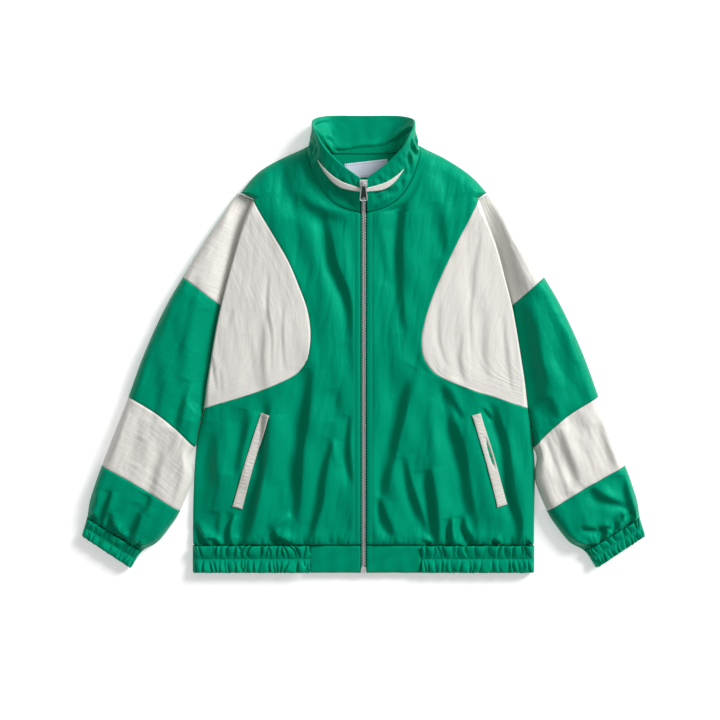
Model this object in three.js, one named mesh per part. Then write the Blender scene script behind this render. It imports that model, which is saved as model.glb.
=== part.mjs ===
// A zip-up track jacket laid flat on its back, in millimetres, with +Z up.
// +X is the wearer's left, +Y runs from the hem to the collar, and the cloth's underside lies at z = 0.
// Every cloth piece is a thin wall, cut and sewn as the real one is, with a 0.3 mm gap at each seam.
import * as THREE from "three";

// Cloth and seams
const CLOTH = 1.6;
const ELASTIC = 2.8;
const SEAM = 0.3;
const FACING = 1.3;
const NUDGE = 2e-4; // share of a grid that its slopes are measured over

// Overall sizes
const HEM_Y = -389.5;
const BAND_TOP_Y = -343.3;
const UNDERARM_Y = -110;
const ARMHOLE_TOP_Y = 249;
const CHEST_TOP_Y = 246.5;
const SHOULDER_TIP_Y = 258;
const SHOULDER_END_Y = 339;
const BACK_NECK_Y = 330;

// Heights of the laid cloth above the floor
const SIDE_SEAM_Z = 7;
const ARM_SEAM_Z = 9;
const NECK_SEAM_Z = 2;
const BAND_LOFT = 14.5;
const BACK_ROLL = 8;
const BACK_TURN = { underarm: 24, shoulder: 14, neckFrom: 306, neckTo: 322 }; // where its edge turns up

// Zip
const ZIP_OPENING = 5.2;
const CHAIN_HALF = 3.6;
const CHAIN_THICK = 2;
const TAPE_WIDTH = 14;
const TAPE_THICK = 1;
const TAPE_DROP = 2.3;
const TAPE_CORNER = { drop: 0.9, reach: 7 };
const ZIP_TOP_Y = 269;
const BOX = { width: 10, length: 11, thick: 2.6, taper: 0.8, corner: 2, neck: 3 };

// Hem tabs beside the zip, on the wearer's right and left
const TAB_WIDTH = { right: 91, left: 98.5 };

const GREEN = cloth(0x078a63, 0.62);
const CREAM = cloth(0xe3e0d8, 0.72);
const LABEL = cloth(0xe9eaf2, 0.6);
const TAPE = cloth(0x0a5a43, 0.8);
const STEEL = new THREE.MeshStandardMaterial({ color: 0xb9bbbd, roughness: 0.3, metalness: 1 });

/** A cloth's material. */
function cloth(color, roughness) {
  return new THREE.MeshStandardMaterial({ color, roughness, metalness: 0 });
}

const lerp = THREE.MathUtils.lerp;
const smooth = THREE.MathUtils.smoothstep;

/** A smooth line through a table's rows: column `value` read against the rising column `at`. */
function line(rows, at, value) {
  const xs = rows.map((row) => row[at]);
  const ys = rows.map((row) => row[value]);
  const last = xs.length - 1;
  const slopes = xs.map((_, i) => {
    const before = Math.max(i - 1, 0);
    const after = Math.min(i + 1, last);
    return (ys[after] - ys[before]) / (xs[after] - xs[before]);
  });
  return (x) => {
    if (x <= xs[0]) return ys[0];
    if (x >= xs[last]) return ys[last];
    const i = xs.findIndex((edge) => edge > x) - 1;
    const span = xs[i + 1] - xs[i];
    const t = (x - xs[i]) / span;
    const rise = ys[i + 1] - ys[i];
    const a = slopes[i] * span - rise;
    const b = rise - slopes[i + 1] * span;
    return ys[i] + rise * t + t * (1 - t) * (a * (1 - t) + b * t);
  };
}

/** A quarter ellipse: 0 at a rolled edge, with an upright start, and 1 from `radius` inward. */
function roll(distance, radius) {
  const left = 1 - THREE.MathUtils.clamp(distance / radius, 0, 1);
  return Math.sqrt(1 - left * left);
}

// Outline of the body, from the centre line: side seam and armhole, then the shoulder
const SIDE = [
  { y: -389.5, right: 291.6, left: 291.6 },
  { y: -343, right: 291.8, left: 291.8 },
  { y: -287, right: 291.8, left: 292.4 },
  { y: -253, right: 291, left: 293 },
  { y: -207, right: 289, left: 293.2 },
  { y: -172, right: 286, left: 290 },
  { y: -150, right: 283, left: 287.5 },
  { y: -110, right: 273.5, left: 281 },
  { y: -68, right: 267.8, left: 276 },
  { y: -25, right: 261, left: 269.5 },
  { y: 25, right: 252.5, left: 261.3 },
  { y: 65, right: 244, left: 253.7 },
  { y: 115, right: 231, left: 240.8 },
  { y: 166, right: 217, left: 227 },
  { y: 211, right: 203, left: 210 },
  { y: 249, right: 188.5, left: 196.5 },
];
const SHOULDER = [
  { y: 258, right: 210.5, left: 211 },
  { y: 266, right: 204.5, left: 204.5 },
  { y: 281, right: 192.5, left: 191 },
  { y: 296, right: 177, left: 173 },
  { y: 313, right: 149, left: 147 },
  { y: 324, right: 126.5, left: 127.5 },
  { y: 335, right: 102.5, left: 105 },
  { y: 343, right: 91, left: 94 },
];

// Edge of the pale chest panel towards the zip
const CHEST_EDGE = [
  { y: -110, right: 270, left: 279 },
  { y: -104, right: 255, left: 264 },
  { y: -96, right: 227, left: 240 },
  { y: -87, right: 197, left: 212 },
  { y: -77, right: 169, left: 181 },
  { y: -66, right: 142, left: 152 },
  { y: -54, right: 118, left: 127 },
  { y: -42, right: 105.5, left: 113.5 },
  { y: -25, right: 95.8, left: 102.7 },
  { y: 0, right: 90.8, left: 98.2 },
  { y: 25, right: 90.3, left: 100.5 },
  { y: 60, right: 96, left: 110 },
  { y: 100, right: 110.5, left: 125 },
  { y: 140, right: 127.5, left: 143.5 },
  { y: 180, right: 150.5, left: 163 },
  { y: 220, right: 174.5, left: 184 },
  { y: 246, right: 188.5, left: 196.5 },
];

// Height of the front above the floor along the centre line, and how far it is rolled at its edge
const FRONT_LOFT = [
  { y: -343.3, loft: 17 },
  { y: -300, loft: 21 },
  { y: -200, loft: 24.5 },
  { y: 0, loft: 26 },
  { y: 120, loft: 27.5 },
  { y: 190, loft: 30 },
  { y: 223, loft: 32 },
  { y: 300, loft: 26 },
  { y: 343, loft: 22 },
];
const EDGE_ROLL = [
  { y: -140, radius: 17 },
  { y: -95, radius: 9 },
  { y: 235, radius: 9 },
  { y: 275, radius: 26 },
];
const SIDE_DROP = 5;
const CALM = { outward: 36, from: 200, to: 260 }; // no folds beside the zip and round the neck
const HEM_ROLL = 15;
const BAND_ROLL = 10;

// Largest folds of the fronts: troughs where depth is negative, ridges where it is positive
const FOLDS = [
  { x0: -80, y0: 215, x1: -8, y1: 35, width: 13, depth: -3.6 },
  { x0: -102, y0: -50, x1: -119, y1: -322, width: 13, depth: -4.2 },
  { x0: -66, y0: -20, x1: -26, y1: -240, width: 17, depth: 2.6 },
  { x0: -64, y0: -205, x1: -96, y1: -338, width: 10, depth: -3.6 },
  { x0: -172, y0: -85, x1: -205, y1: -225, width: 12, depth: -3.2 },
  { x0: -178, y0: -225, x1: -186, y1: -340, width: 12, depth: -3.8 },
  { x0: -226, y0: -262, x1: -246, y1: -340, width: 9, depth: -3.6 },
  { x0: -16, y0: -115, x1: -14, y1: -235, width: 10, depth: -2.6 },
  { x0: 58, y0: 225, x1: 62, y1: 80, width: 13, depth: -3 },
  { x0: 84, y0: 10, x1: 22, y1: -262, width: 15, depth: -4 },
  { x0: 122, y0: -62, x1: 178, y1: -338, width: 15, depth: -4.6 },
  { x0: 108, y0: -80, x1: 148, y1: -285, width: 14, depth: 2.8 },
  { x0: 64, y0: -212, x1: 104, y1: -338, width: 11, depth: -3.8 },
  { x0: 104, y0: -232, x1: 138, y1: -338, width: 10, depth: -3.8 },
  { x0: 14, y0: -262, x1: 54, y1: -338, width: 10, depth: -3.2 },
  { x0: 214, y0: -205, x1: 262, y1: -338, width: 12, depth: -4.2 },
];

// Small gathers where the fronts meet the hem band
const HEM_GATHERS = { count: 9, depth: 1.6, reach: 42 };

// Collar, from the zip to the middle of the back: its neck seam, its top edge, and the foot of its facing
const COLLAR = [
  { x: 5.2, y: 222.9, topX: 5.2, topY: 276.5, topZ: 54, footX: 5.2, footY: 243, footZ: 27 },
  { x: 27, y: 228, topX: 17, topY: 285, topZ: 55, footX: 22, footY: 247, footZ: 27.5 },
  { x: 48, y: 237.5, topX: 30, topY: 294, topZ: 56, footX: 38, footY: 256, footZ: 27 },
  { x: 64, y: 252, topX: 43, topY: 304.5, topZ: 57.5, footX: 50, footY: 268, footZ: 26 },
  { x: 76, y: 269, topX: 55, topY: 316, topZ: 60, footX: 58, footY: 282, footZ: 24 },
  { x: 85, y: 288, topX: 66, topY: 327, topZ: 62, footX: 63, footY: 297, footZ: 21 },
  { x: 92, y: 308, topX: 74.5, topY: 340, topZ: 62, footX: 65, footY: 312, footZ: 17 },
  { x: 95.5, y: 324, topX: 81, topY: 353, topZ: 57, footX: 64, footY: 324, footZ: 13 },
  { x: 93, y: 335.5, topX: 87, topY: 367, topZ: 45, footX: 60, footY: 331, footZ: 9 },
  { x: 76, y: 331, z: 1, topX: 85, topY: 381, topZ: 22, footX: 49, footY: 331, footZ: 6 },
  { x: 45, y: 330.3, z: 0, topX: 58, topY: 389, topZ: 2.5, footX: 28, footY: 331, footZ: 4.7 },
  { x: 0, y: 330.3, z: 0, topX: 0, topY: 389.5, topZ: 0, footX: 0, footY: 331, footZ: 4.5 },
];
const NECK_POINTS_ON_FRONT = 9;
const COLLAR_SWELL = 2.5;
const FACING_GAP = 0.5;
const STRIPE = { low: 0.56, high: 0.7, end: { right: 0.53, left: 0.58 }, thick: 0.9, gap: 0.5 };

// Sleeve, from the shoulder tip to the cuff: its outer fold, its inner edge, its height and its seams' bow
const SLEEVE = [
  { row: 0, outX: 214.5, outY: 258.4, inX: 190, inY: 249, loft: 14, bow: 0 },
  { row: 1, outX: 239, outY: 223.5, inX: 190, inY: 190, loft: 22, bow: 0 },
  { row: 2, outX: 273, outY: 172, inX: 190, inY: 128, loft: 26, bow: 0 },
  { row: 3, outX: 308.5, outY: 114.5, inX: 190, inY: 66, loft: 28, bow: 0 },
  { row: 4, outX: 333, outY: 73, inX: 190, inY: 14, loft: 29, bow: 2 },
  { row: 5, outX: 355, outY: 28.5, inX: 190, inY: -42, loft: 29, bow: 4 },
  { row: 6, outX: 378, outY: -25, inX: 190, inY: -104, loft: 29, bow: 6 },
  { row: 7, outX: 401.3, outY: -89, inX: 288, inY: -175.4, loft: 28, bow: 7 },
  { row: 8, outX: 424, outY: -148, inX: 292, inY: -229, loft: 28, bow: 4 },
  { row: 9, outX: 446.5, outY: -206, inX: 313, inY: -284.3, loft: 28, bow: 2 },
  { row: 10, outX: 458, outY: -238, inX: 332, inY: -314, loft: 29, bow: 0 },
  { row: 11, outX: 467, outY: -267, inX: 352, inY: -338, loft: 27, bow: 0 },
  { row: 12, outX: 472, outY: -296, inX: 378, inY: -353.5, loft: 22, bow: 0 },
  { row: 13, outX: 481, outY: -326, inX: 397, inY: -381.5, loft: 15, bow: 0 },
];
const CAP_ROW = 3;
const BAND_ROW = 7;
const LOWER_ROW = 9;
const CUFF_ROW = 12;
const LOWER_ROWS = [LOWER_ROW, 9.7, 10.4, 11, 11.5, 11.8, CUFF_ROW];
const CUFF_ROWS = [CUFF_ROW, 12.5, 13];
const ROW_GAP = 0.005;
const SLIT = 0.0022;
const SIDE_GAP = 1.2;
const CAP_EDGE = 0.46;
const CAP_GAP = 0.002;
const SLEEVE_ROLL = 19;
const ARMHOLE_SLOPE = 46;
const CUFF_ROLL = 9;
const CUFF_LOFT = 15;
const CUFF_THICK = 2.2;
const CUFF_GATHERS = { count: 18, depth: 1 };
const WRIST_FOLDS = { count: 6, depth: 2, reach: 1.8, roll: 0.35 };

// Gathers of the hem band's elastic, held flat by the row of stitches along its middle
const BAND_GATHERS = { count: 16, depth: 1.3, crowding: 1.4 };
const BAND_STITCH_Y = -366.4;
const BAND_ROWS = [HEM_Y, BAND_STITCH_Y, BAND_TOP_Y - SEAM / 2];

// Pocket welts, one for each hand: ends of the middle line and the width at each end
const WELTS = {
  right: { topX: -167, topY: -119, lowX: -214.6, lowY: -279, topWidth: 14, lowWidth: 17 },
  left: { topX: 191.4, topY: -119, lowX: 236.5, lowY: -275, topWidth: 15, lowWidth: 18 },
};
const WELT_THICK = 1.5;
const WELT_GAP = 0.45;
const WELT_BEND = 1.5;
const WELT_REACH = { x: 5, y: 9 }; // how far round it the front's facets hold a welt up

// Slider on the closed zip, with the pull's bar in the eye of its bridge
const SLIDER = { y: 270, width: 13, length: 12, thick: 2.2, above: 0.8, bevel: 1.5 };
const BRIDGE = { width: 3, length: 8.6, height: 5.4, wall: 1.3, bevel: 1.6 };
const PULL = {
  length: 31,
  topWidth: 9.4,
  lowWidth: 14,
  eyeWidth: 4.6,
  eyeLength: 6,
  windowWidth: 5,
  windowFrom: 24.6,
  windowTo: 28.6,
  thick: 1.5,
  restAngle: 0.2,
};

const NECK_LABEL = { x: 5.6, y: 299.4, width: 74, height: 27, turn: 0.115, thick: 0.8 };

const SIDES = { right: -1, left: 1 };

/** The body's outline on one side, as a distance from the centre line at height y. */
function outline(side) {
  const low = line(SIDE, "y", side);
  const high = line(SHOULDER, "y", side);
  return (y) => {
    if (y <= ARMHOLE_TOP_Y) return low(y);
    if (y >= SHOULDER_TIP_Y) return high(y);
    const share = (y - ARMHOLE_TOP_Y) / (SHOULDER_TIP_Y - ARMHOLE_TOP_Y);
    return lerp(low(ARMHOLE_TOP_Y), high(SHOULDER_TIP_Y), share);
  };
}

const EDGE = { right: outline("right"), left: outline("left") };
const CHEST = { right: line(CHEST_EDGE, "y", "right"), left: line(CHEST_EDGE, "y", "left") };
const centreLoft = line(FRONT_LOFT, "y", "loft");
const edgeRadius = line(EDGE_ROLL, "y", "radius");
const neckX = line(COLLAR.slice(0, NECK_POINTS_ON_FRONT), "y", "x");

/** Height of the seam that a front's edge rolls down to: highest at the armhole, lowest by the neck. */
function edgeSeamZ(y) {
  const armhole = smooth(y, UNDERARM_Y - 12, UNDERARM_Y) * (1 - smooth(y, ARMHOLE_TOP_Y, SHOULDER_TIP_Y));
  const neck = smooth(y, BACK_NECK_Y - 16, BACK_NECK_Y);
  return lerp(lerp(SIDE_SEAM_Z, ARM_SEAM_Z, armhole), NECK_SEAM_Z, neck);
}

/** Soft troughs and ridges of the fronts at (x, y). */
function folds(x, y) {
  let height = 0;
  for (const f of FOLDS) {
    const along = new THREE.Vector2(f.x1 - f.x0, f.y1 - f.y0);
    const from = new THREE.Vector2(x - f.x0, y - f.y0);
    const share = from.dot(along) / along.lengthSq();
    if (share < 0 || share > 1 || x * (f.x0 + f.x1) < 0) continue;
    const across = from.cross(along) / along.length() / f.width;
    height += f.depth * Math.sqrt(Math.sin(Math.PI * share)) * Math.exp(-across * across);
  }
  const edge = EDGE[x < 0 ? "right" : "left"](y);
  const wave = Math.cos((2 * Math.PI * HEM_GATHERS.count * Math.abs(x)) / edge);
  const reach = 1 - smooth(y - BAND_TOP_Y, 0, HEM_GATHERS.reach);
  return height + HEM_GATHERS.depth * wave * reach;
}

/** Height of the front's outer face at (x, y). */
function frontZ(x, y) {
  const side = x < 0 ? "right" : "left";
  const edge = EDGE[side](y);
  const slope = y > SHOULDER_TIP_Y ? (EDGE[side](y + 1) - EDGE[side](y - 1)) / 2 : 0;
  const inward = Math.max(edge - Math.abs(x), 0) / Math.hypot(1, slope);
  const share = Math.abs(x) / edge;
  const seam = edgeSeamZ(y);
  const loft = centreLoft(y) - SIDE_DROP * share * share - seam;
  const calm = smooth(Math.abs(x), TAPE_WIDTH, CALM.outward) * (1 - smooth(y, CALM.from, CALM.to));
  const full = seam + (loft + folds(x, y) * calm) * roll(inward, edgeRadius(y));
  const hem = roll(y - BAND_TOP_Y, HEM_ROLL);
  const low = Math.min(BAND_LOFT, full);
  return low + (full - low) * hem;
}

/** Height of the hem band's outer face at x. */
function bandZ(x, y, side) {
  return SIDE_SEAM_Z + (BAND_LOFT - SIDE_SEAM_Z) * roll(EDGE[side](y) - Math.abs(x), BAND_ROLL);
}

/**
 * A cloth wall over a grid of stations `us` by `vs`. `face` gives its outer point, and `plain` the same
 * face without the relief that the inside doesn't follow. `turn` is 1 where u x v points outward.
 */
function wall(name, material, us, vs, thick, turn, face, plain = face) {
  const outer = [];
  const inner = [];
  const near = (stations, value, step) => {
    const nudge = (stations.at(-1) - stations[0]) * step;
    return THREE.MathUtils.clamp(value + nudge, stations[0], stations.at(-1));
  };
  for (const u of us) {
    for (const v of vs) {
      const du = plain(near(us, u, NUDGE), v).sub(plain(near(us, u, -NUDGE), v));
      const dv = plain(u, near(vs, v, NUDGE)).sub(plain(u, near(vs, v, -NUDGE)));
      const normal = du.cross(dv).normalize().multiplyScalar(turn);
      outer.push(face(u, v));
      inner.push(plain(u, v).addScaledVector(normal, -thick));
    }
  }
  const count = outer.length;
  const [nu, nv] = [us.length - 1, vs.length - 1];
  const at = (i, j) => i * (nv + 1) + j;
  const triangles = [];
  const quad = (a, b, c, d) => triangles.push(...(turn > 0 ? [a, b, c, a, c, d] : [a, c, b, a, d, c]));
  for (let i = 0; i < nu; i++) {
    for (let j = 0; j < nv; j++) {
      const [a, b, c, d] = [at(i, j), at(i + 1, j), at(i + 1, j + 1), at(i, j + 1)];
      quad(a, b, c, d);
      quad(a + count, d + count, c + count, b + count);
    }
    quad(at(i + 1, 0), at(i, 0), at(i, 0) + count, at(i + 1, 0) + count);
    quad(at(i, nv), at(i + 1, nv), at(i + 1, nv) + count, at(i, nv) + count);
  }
  for (let j = 0; j < nv; j++) {
    quad(at(nu, j + 1), at(nu, j), at(nu, j) + count, at(nu, j + 1) + count);
    quad(at(0, j), at(0, j + 1), at(0, j + 1) + count, at(0, j) + count);
  }
  const geometry = new THREE.BufferGeometry();
  geometry.setFromPoints([...outer, ...inner]);
  geometry.setIndex(triangles);
  return named(name, geometry, material);
}

/** A named mesh. */
function named(name, geometry, material) {
  geometry.computeVertexNormals();
  const mesh = new THREE.Mesh(geometry, material);
  mesh.name = name;
  return mesh;
}

/** Even stations from a to b in `count` steps. */
function evenly(a, b, count) {
  return Array.from({ length: count + 1 }, (_, i) => lerp(a, b, i / count));
}

/** Stations from -1 to 1, closer together towards both ends. */
function acrossStations(count) {
  return evenly(-0.5, 0.5, count).map((share) => Math.sin(share * Math.PI));
}

const sleeveLine = Object.fromEntries(
  ["outX", "outY", "inX", "inY", "loft", "bow"].map((key) => [key, line(SLEEVE, "row", key)]),
);

// Heights y of the grid rows: those beside the sleeve are the sleeve's own rows and half rows
const ARM_ROWS = evenly(0, 8, 16).map((row) => sleeveLine.inY(row)).reverse();
const HEM_ROWS = [SEAM / 2, 2, 6, 14, 34, 60, 87].map((rise) => BAND_TOP_Y + rise);
const ARMHOLE_ROWS = ARM_ROWS.filter((y) => y > UNDERARM_Y);
const BODY_ROWS = [...HEM_ROWS, ...ARM_ROWS.filter((y) => y < UNDERARM_Y), UNDERARM_Y];
const CHEST_ROWS = [
  ...[-108, -97, -86, -58, 234, CHEST_TOP_Y],
  ...ARMHOLE_ROWS.filter((y) => y < CHEST_TOP_Y),
].sort((a, b) => a - b);
const FRONT_ROWS = [
  ...BODY_ROWS,
  ...CHEST_ROWS,
  ARMHOLE_TOP_Y,
  ...evenly(SHOULDER_TIP_Y, SHOULDER_END_Y, 7),
];

const CHEST_GAP = { low: 0.6, high: 1.2, from: 215, to: 235 };

/** Half the gap between a front and its chest panel, wider at the top where both roll over. */
function chestGap(y) {
  return SEAM * lerp(CHEST_GAP.low, CHEST_GAP.high, smooth(y, CHEST_GAP.from, CHEST_GAP.to));
}

/** The x of a front's edges at height y: along the zip or the neck, then along the chest panel or side. */
function frontSpan(side, y) {
  const start = y < COLLAR[0].y ? ZIP_OPENING : neckX(y) + SEAM;
  const beside = y > UNDERARM_Y && y < ARMHOLE_TOP_Y ? CHEST[side](y) : EDGE[side](y);
  return [start, beside - chestGap(y)];
}

const FRONT_COLUMNS = [0, 0.1, 0.22, 0.35, 0.48, 0.61, 0.73, 0.84, 0.93, 0.98, 1];

/** A point of a front's outer face: u runs from the zip outward. */
function frontPoint(side, u, y) {
  const [start, end] = frontSpan(side, y);
  const x = SIDES[side] * lerp(start, end, u);
  return new THREE.Vector3(x, y, frontZ(x, y));
}

/** One green front, from the zip and the neck to the chest panel and the side. */
function front(side) {
  const face = (u, y) => frontPoint(side, u, y);
  return wall(`front_${side}`, GREEN, FRONT_COLUMNS, FRONT_ROWS, CLOTH, SIDES[side], face);
}

/** Height of a front's faceted face at (x, y), between its grid's points. */
function facetZ(side, x, y) {
  const above = Math.max(FRONT_ROWS.findIndex((row) => row > y), 1);
  const [low, high] = [FRONT_ROWS[above - 1], FRONT_ROWS[above]];
  const share = (y - low) / (high - low);
  const places = FRONT_COLUMNS.map((u) => frontPoint(side, u, low).lerp(frontPoint(side, u, high), share));
  const next = Math.max(places.findIndex((place) => Math.abs(place.x) > Math.abs(x)), 1);
  const [a, b] = [places[next - 1], places[next]];
  return lerp(a.z, b.z, (x - a.x) / (b.x - a.x));
}

/** One pale chest panel, from its curved edge to the armhole. */
function chestPanel(side) {
  const face = (u, y) => {
    const start = CHEST[side](y) + chestGap(y);
    const x = SIDES[side] * lerp(start, EDGE[side](y) - SEAM / 2, u);
    return new THREE.Vector3(x, y, frontZ(x, y));
  };
  const columns = [0, 0.3, 0.58, 0.8, 0.93, 1];
  return wall(`chest_panel_${side}`, CREAM, columns, CHEST_ROWS, CLOTH, SIDES[side], face);
}

/** How far the back is turned up at its edge: not at all along the armholes, and fully at the side seams. */
function backTurnUp(y) {
  const { underarm, shoulder, neckFrom, neckTo } = BACK_TURN;
  const beside = 1 - smooth(y, UNDERARM_Y - underarm, UNDERARM_Y);
  const above = smooth(y, SHOULDER_TIP_Y, SHOULDER_TIP_Y + shoulder) * (1 - smooth(y, neckFrom, neckTo));
  return Math.max(beside, above);
}

/** A point of the back's or back hem's underside, `across` from -1 at the right edge to 1 at the left. */
function backPoint(across, y) {
  const edge = EDGE[across < 0 ? "right" : "left"](y) - SEAM / 2;
  const x = across * edge;
  const seam = (edgeSeamZ(y) - SEAM) * backTurnUp(y);
  return new THREE.Vector3(x, y, seam * (1 - roll(edge - Math.abs(x), BACK_ROLL)));
}

/** The back, flat on the floor and turned up at the side seams and shoulders. */
function back() {
  const hem = [BAND_TOP_Y + SEAM / 2, -286];
  const shoulders = evenly(SHOULDER_TIP_Y, BACK_NECK_Y, 4);
  const rows = [...hem, ...ARM_ROWS.filter((y) => y < UNDERARM_Y), UNDERARM_Y, ...ARMHOLE_ROWS, ...shoulders];
  return wall("back", GREEN, acrossStations(12), rows, CLOTH, -1, backPoint);
}

/** A plain tab of the hem band, beside the zip. */
function hemTab(side) {
  const face = (x, y) => new THREE.Vector3(SIDES[side] * x, y, bandZ(x, y, side));
  const columns = evenly(ZIP_OPENING, TAB_WIDTH[side] - SEAM / 2, 3);
  return wall(`hem_tab_${side}`, GREEN, columns, BAND_ROWS, CLOTH, SIDES[side], face);
}

/** The gathered elastic of the hem band over one front. */
function hemElastic(side) {
  const { count, depth, crowding } = BAND_GATHERS;
  const face = (relief) => (u, y) => {
    const x = SIDES[side] * lerp(TAB_WIDTH[side] + SEAM / 2, EDGE[side](y), 1 - (1 - u) ** crowding);
    const held = Math.abs(y - BAND_STITCH_Y) / (BAND_TOP_Y - BAND_STITCH_Y);
    const wave = relief * depth * held * (1 - Math.cos(2 * Math.PI * count * u));
    return new THREE.Vector3(x, y, bandZ(x, y, side) + wave);
  };
  const columns = evenly(0, 1, count * 2);
  return wall(`hem_elastic_${side}`, GREEN, columns, BAND_ROWS, ELASTIC, SIDES[side], face(1), face(0));
}

/** The elastic of the hem band across the back, flat on the floor. */
function hemBack() {
  return wall("hem_elastic_back", GREEN, acrossStations(10), BAND_ROWS, ELASTIC, -1, backPoint);
}

/**
 * A point of a sleeve's outer face. `row` runs from the shoulder to the cuff, and `w` from 0 at the inner
 * edge over the top to 0.5 at the outer fold, then back to 1 along the floor.
 */
function sleevePoint(side, row, w, relief = 1) {
  const [outX, outY] = [sleeveLine.outX(row), sleeveLine.outY(row)];
  const inY = sleeveLine.inY(row);
  const closed = 1 - smooth(inY, UNDERARM_Y - 16, UNDERARM_Y);
  const inX = Math.max(sleeveLine.inX(row), EDGE[side](inY) + lerp(SEAM, SIDE_GAP, closed));
  const width = Math.hypot(outX - inX, outY - inY);
  const share = (1 - Math.cos(2 * Math.PI * w)) / 2;
  const bow = sleeveLine.bow(row) * Math.sin(Math.PI * share);
  const x = lerp(inX, outX, share) - ((outY - inY) / width) * bow;
  const y = lerp(inY, outY, share) + ((outX - inX) / width) * bow;
  const [fromIn, fromOut] = [share * width, (1 - share) * width];
  const turnedUp = (distance) => SIDE_SEAM_Z * (1 - roll(distance, BACK_ROLL));
  if (w > 0.5) return new THREE.Vector3(SIDES[side] * x, y, turnedUp(fromOut) + closed * turnedUp(fromIn));
  const cuff = row > CUFF_ROW;
  const radius = cuff ? CUFF_ROLL : SLEEVE_ROLL;
  const armhole = Math.sin((Math.PI / 2) * Math.min(fromIn / ARMHOLE_SLOPE, 1));
  const rise = lerp(armhole, roll(fromIn, radius), closed) * roll(fromOut, radius);
  const seam = lerp(lerp(ARM_SEAM_Z, SIDE_SEAM_Z, closed), SIDE_SEAM_Z, share);
  const wrist = WRIST_FOLDS.depth * (1 - smooth(CUFF_ROW - row, 0, WRIST_FOLDS.reach));
  const puffed = sleeveLine.loft(row) + wrist * Math.cos(4 * Math.PI * WRIST_FOLDS.count * w);
  const sewn = lerp(CUFF_LOFT, puffed, roll(CUFF_ROW - row, WRIST_FOLDS.roll));
  const gather = relief * CUFF_GATHERS.depth * (1 - Math.cos(4 * Math.PI * CUFF_GATHERS.count * w));
  const top = cuff ? CUFF_LOFT + gather : sewn;
  return new THREE.Vector3(SIDES[side] * x, y, seam + (top - seam) * rise);
}

/** A stretch of sleeve over some rows, with `around` its stations round the arm. */
function sleevePiece(name, side, material, rows, around, thick = CLOTH) {
  const first = rows[0] === 0 ? 0.02 : rows[0] + ROW_GAP;
  const stations = [first, ...rows.slice(1, -1), rows.at(-1) - ROW_GAP];
  const face = (relief) => (row, w) => sleevePoint(side, row, w, relief);
  return wall(`${name}_${side}`, material, stations, around, thick, SIDES[side], face(1), face(0));
}

/** All the pieces of one sleeve. */
function sleeve(side) {
  const under = evenly(0.5, 1 - SLIT, 7).slice(1);
  const round = (count) => [SLIT, ...evenly(0, 0.5, count).slice(1), ...under];
  const overCap = evenly(0, CAP_EDGE - CAP_GAP, 8);
  const underCap = [...evenly(CAP_EDGE + CAP_GAP, 0.56, 3), ...evenly(0.56, 1, 4).slice(1)];
  return [
    sleevePiece("sleeve_cap", side, CREAM, evenly(0, CAP_ROW, 6), overCap),
    sleevePiece("sleeve_cap_back", side, GREEN, evenly(0, CAP_ROW, 6), underCap),
    sleevePiece("sleeve_upper", side, GREEN, evenly(CAP_ROW, BAND_ROW, 8), round(10)),
    sleevePiece("sleeve_band", side, CREAM, evenly(BAND_ROW, LOWER_ROW, 4), round(10)),
    sleevePiece("sleeve_lower", side, GREEN, LOWER_ROWS, round(WRIST_FOLDS.count * 3)),
    sleevePiece("cuff", side, GREEN, CUFF_ROWS, round(CUFF_GATHERS.count * 2), CUFF_THICK),
  ];
}

const COLLAR_ROWS = COLLAR.length - 1;
const collarLine = Object.fromEntries(
  ["x", "y", "z", "topX", "topY", "topZ", "footX", "footY", "footZ"].map((key) => {
    const rows = COLLAR.map((row, index) => ({ z: frontZ(row.x, row.y), ...row, index }));
    return [key, line(rows, "index", key)];
  }),
);

/** Point of the collar where one of its three lines, neck, top or foot, passes place q. */
function collarRail(q, x, y, z) {
  const row = COLLAR_ROWS * (1 - Math.abs(q));
  return new THREE.Vector3(Math.sign(q || 1) * collarLine[x](row), collarLine[y](row), collarLine[z](row));
}

/** A point of the collar's outer face: q is -1 at the zip's right, 0 at the back, 1 at the zip's left. */
function collarPoint(q, v) {
  const row = COLLAR_ROWS * (1 - Math.abs(q));
  const standing = 1 - smooth(row, 7, 9.5);
  const point = collarRail(q, "x", "y", "z").lerp(collarRail(q, "topX", "topY", "topZ"), v);
  point.z += standing * (COLLAR_SWELL * Math.sin(Math.PI * v) + SEAM * (1 - v));
  return point.setZ(Math.max(point.z, 0));
}

/** The collar's outer point at q and v, moved `out` along its outward normal. */
function collarOut(q, v, out) {
  const dq = collarPoint(Math.min(q + NUDGE, 1), v).sub(collarPoint(Math.max(q - NUDGE, -1), v));
  const dv = collarPoint(q, Math.min(v + NUDGE, 1)).sub(collarPoint(q, Math.max(v - NUDGE, 0)));
  return collarPoint(q, v).addScaledVector(dv.cross(dq).normalize(), out);
}

/** The stand collar, the facing inside it, and its pale stripe on each side of the zip. */
function collar() {
  const places = evenly(-1, 1, 36);
  const outer = wall("collar", GREEN, places, [0.008, 0.3, 0.56, 0.7, 0.9, 1], CLOTH, -1, collarPoint);
  const inside = (q, v) => {
    const top = collarOut(q, 1, -(CLOTH + FACING_GAP + FACING));
    return collarRail(q, "footX", "footY", "footZ").lerp(top, v);
  };
  const facing = wall("collar_facing", GREEN, places, [0, 0.5, 1], FACING, 1, inside);
  const stripes = Object.entries(SIDES).map(([side, sign]) => {
    const face = (q, v) => collarOut(sign * q, v, STRIPE.gap + STRIPE.thick);
    const along = places.filter((q) => q > STRIPE.end[side]);
    return wall(`collar_stripe_${side}`, CREAM, along, [STRIPE.low, STRIPE.high], STRIPE.thick, -sign, face);
  });
  return [outer, facing, ...stripes];
}

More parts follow.
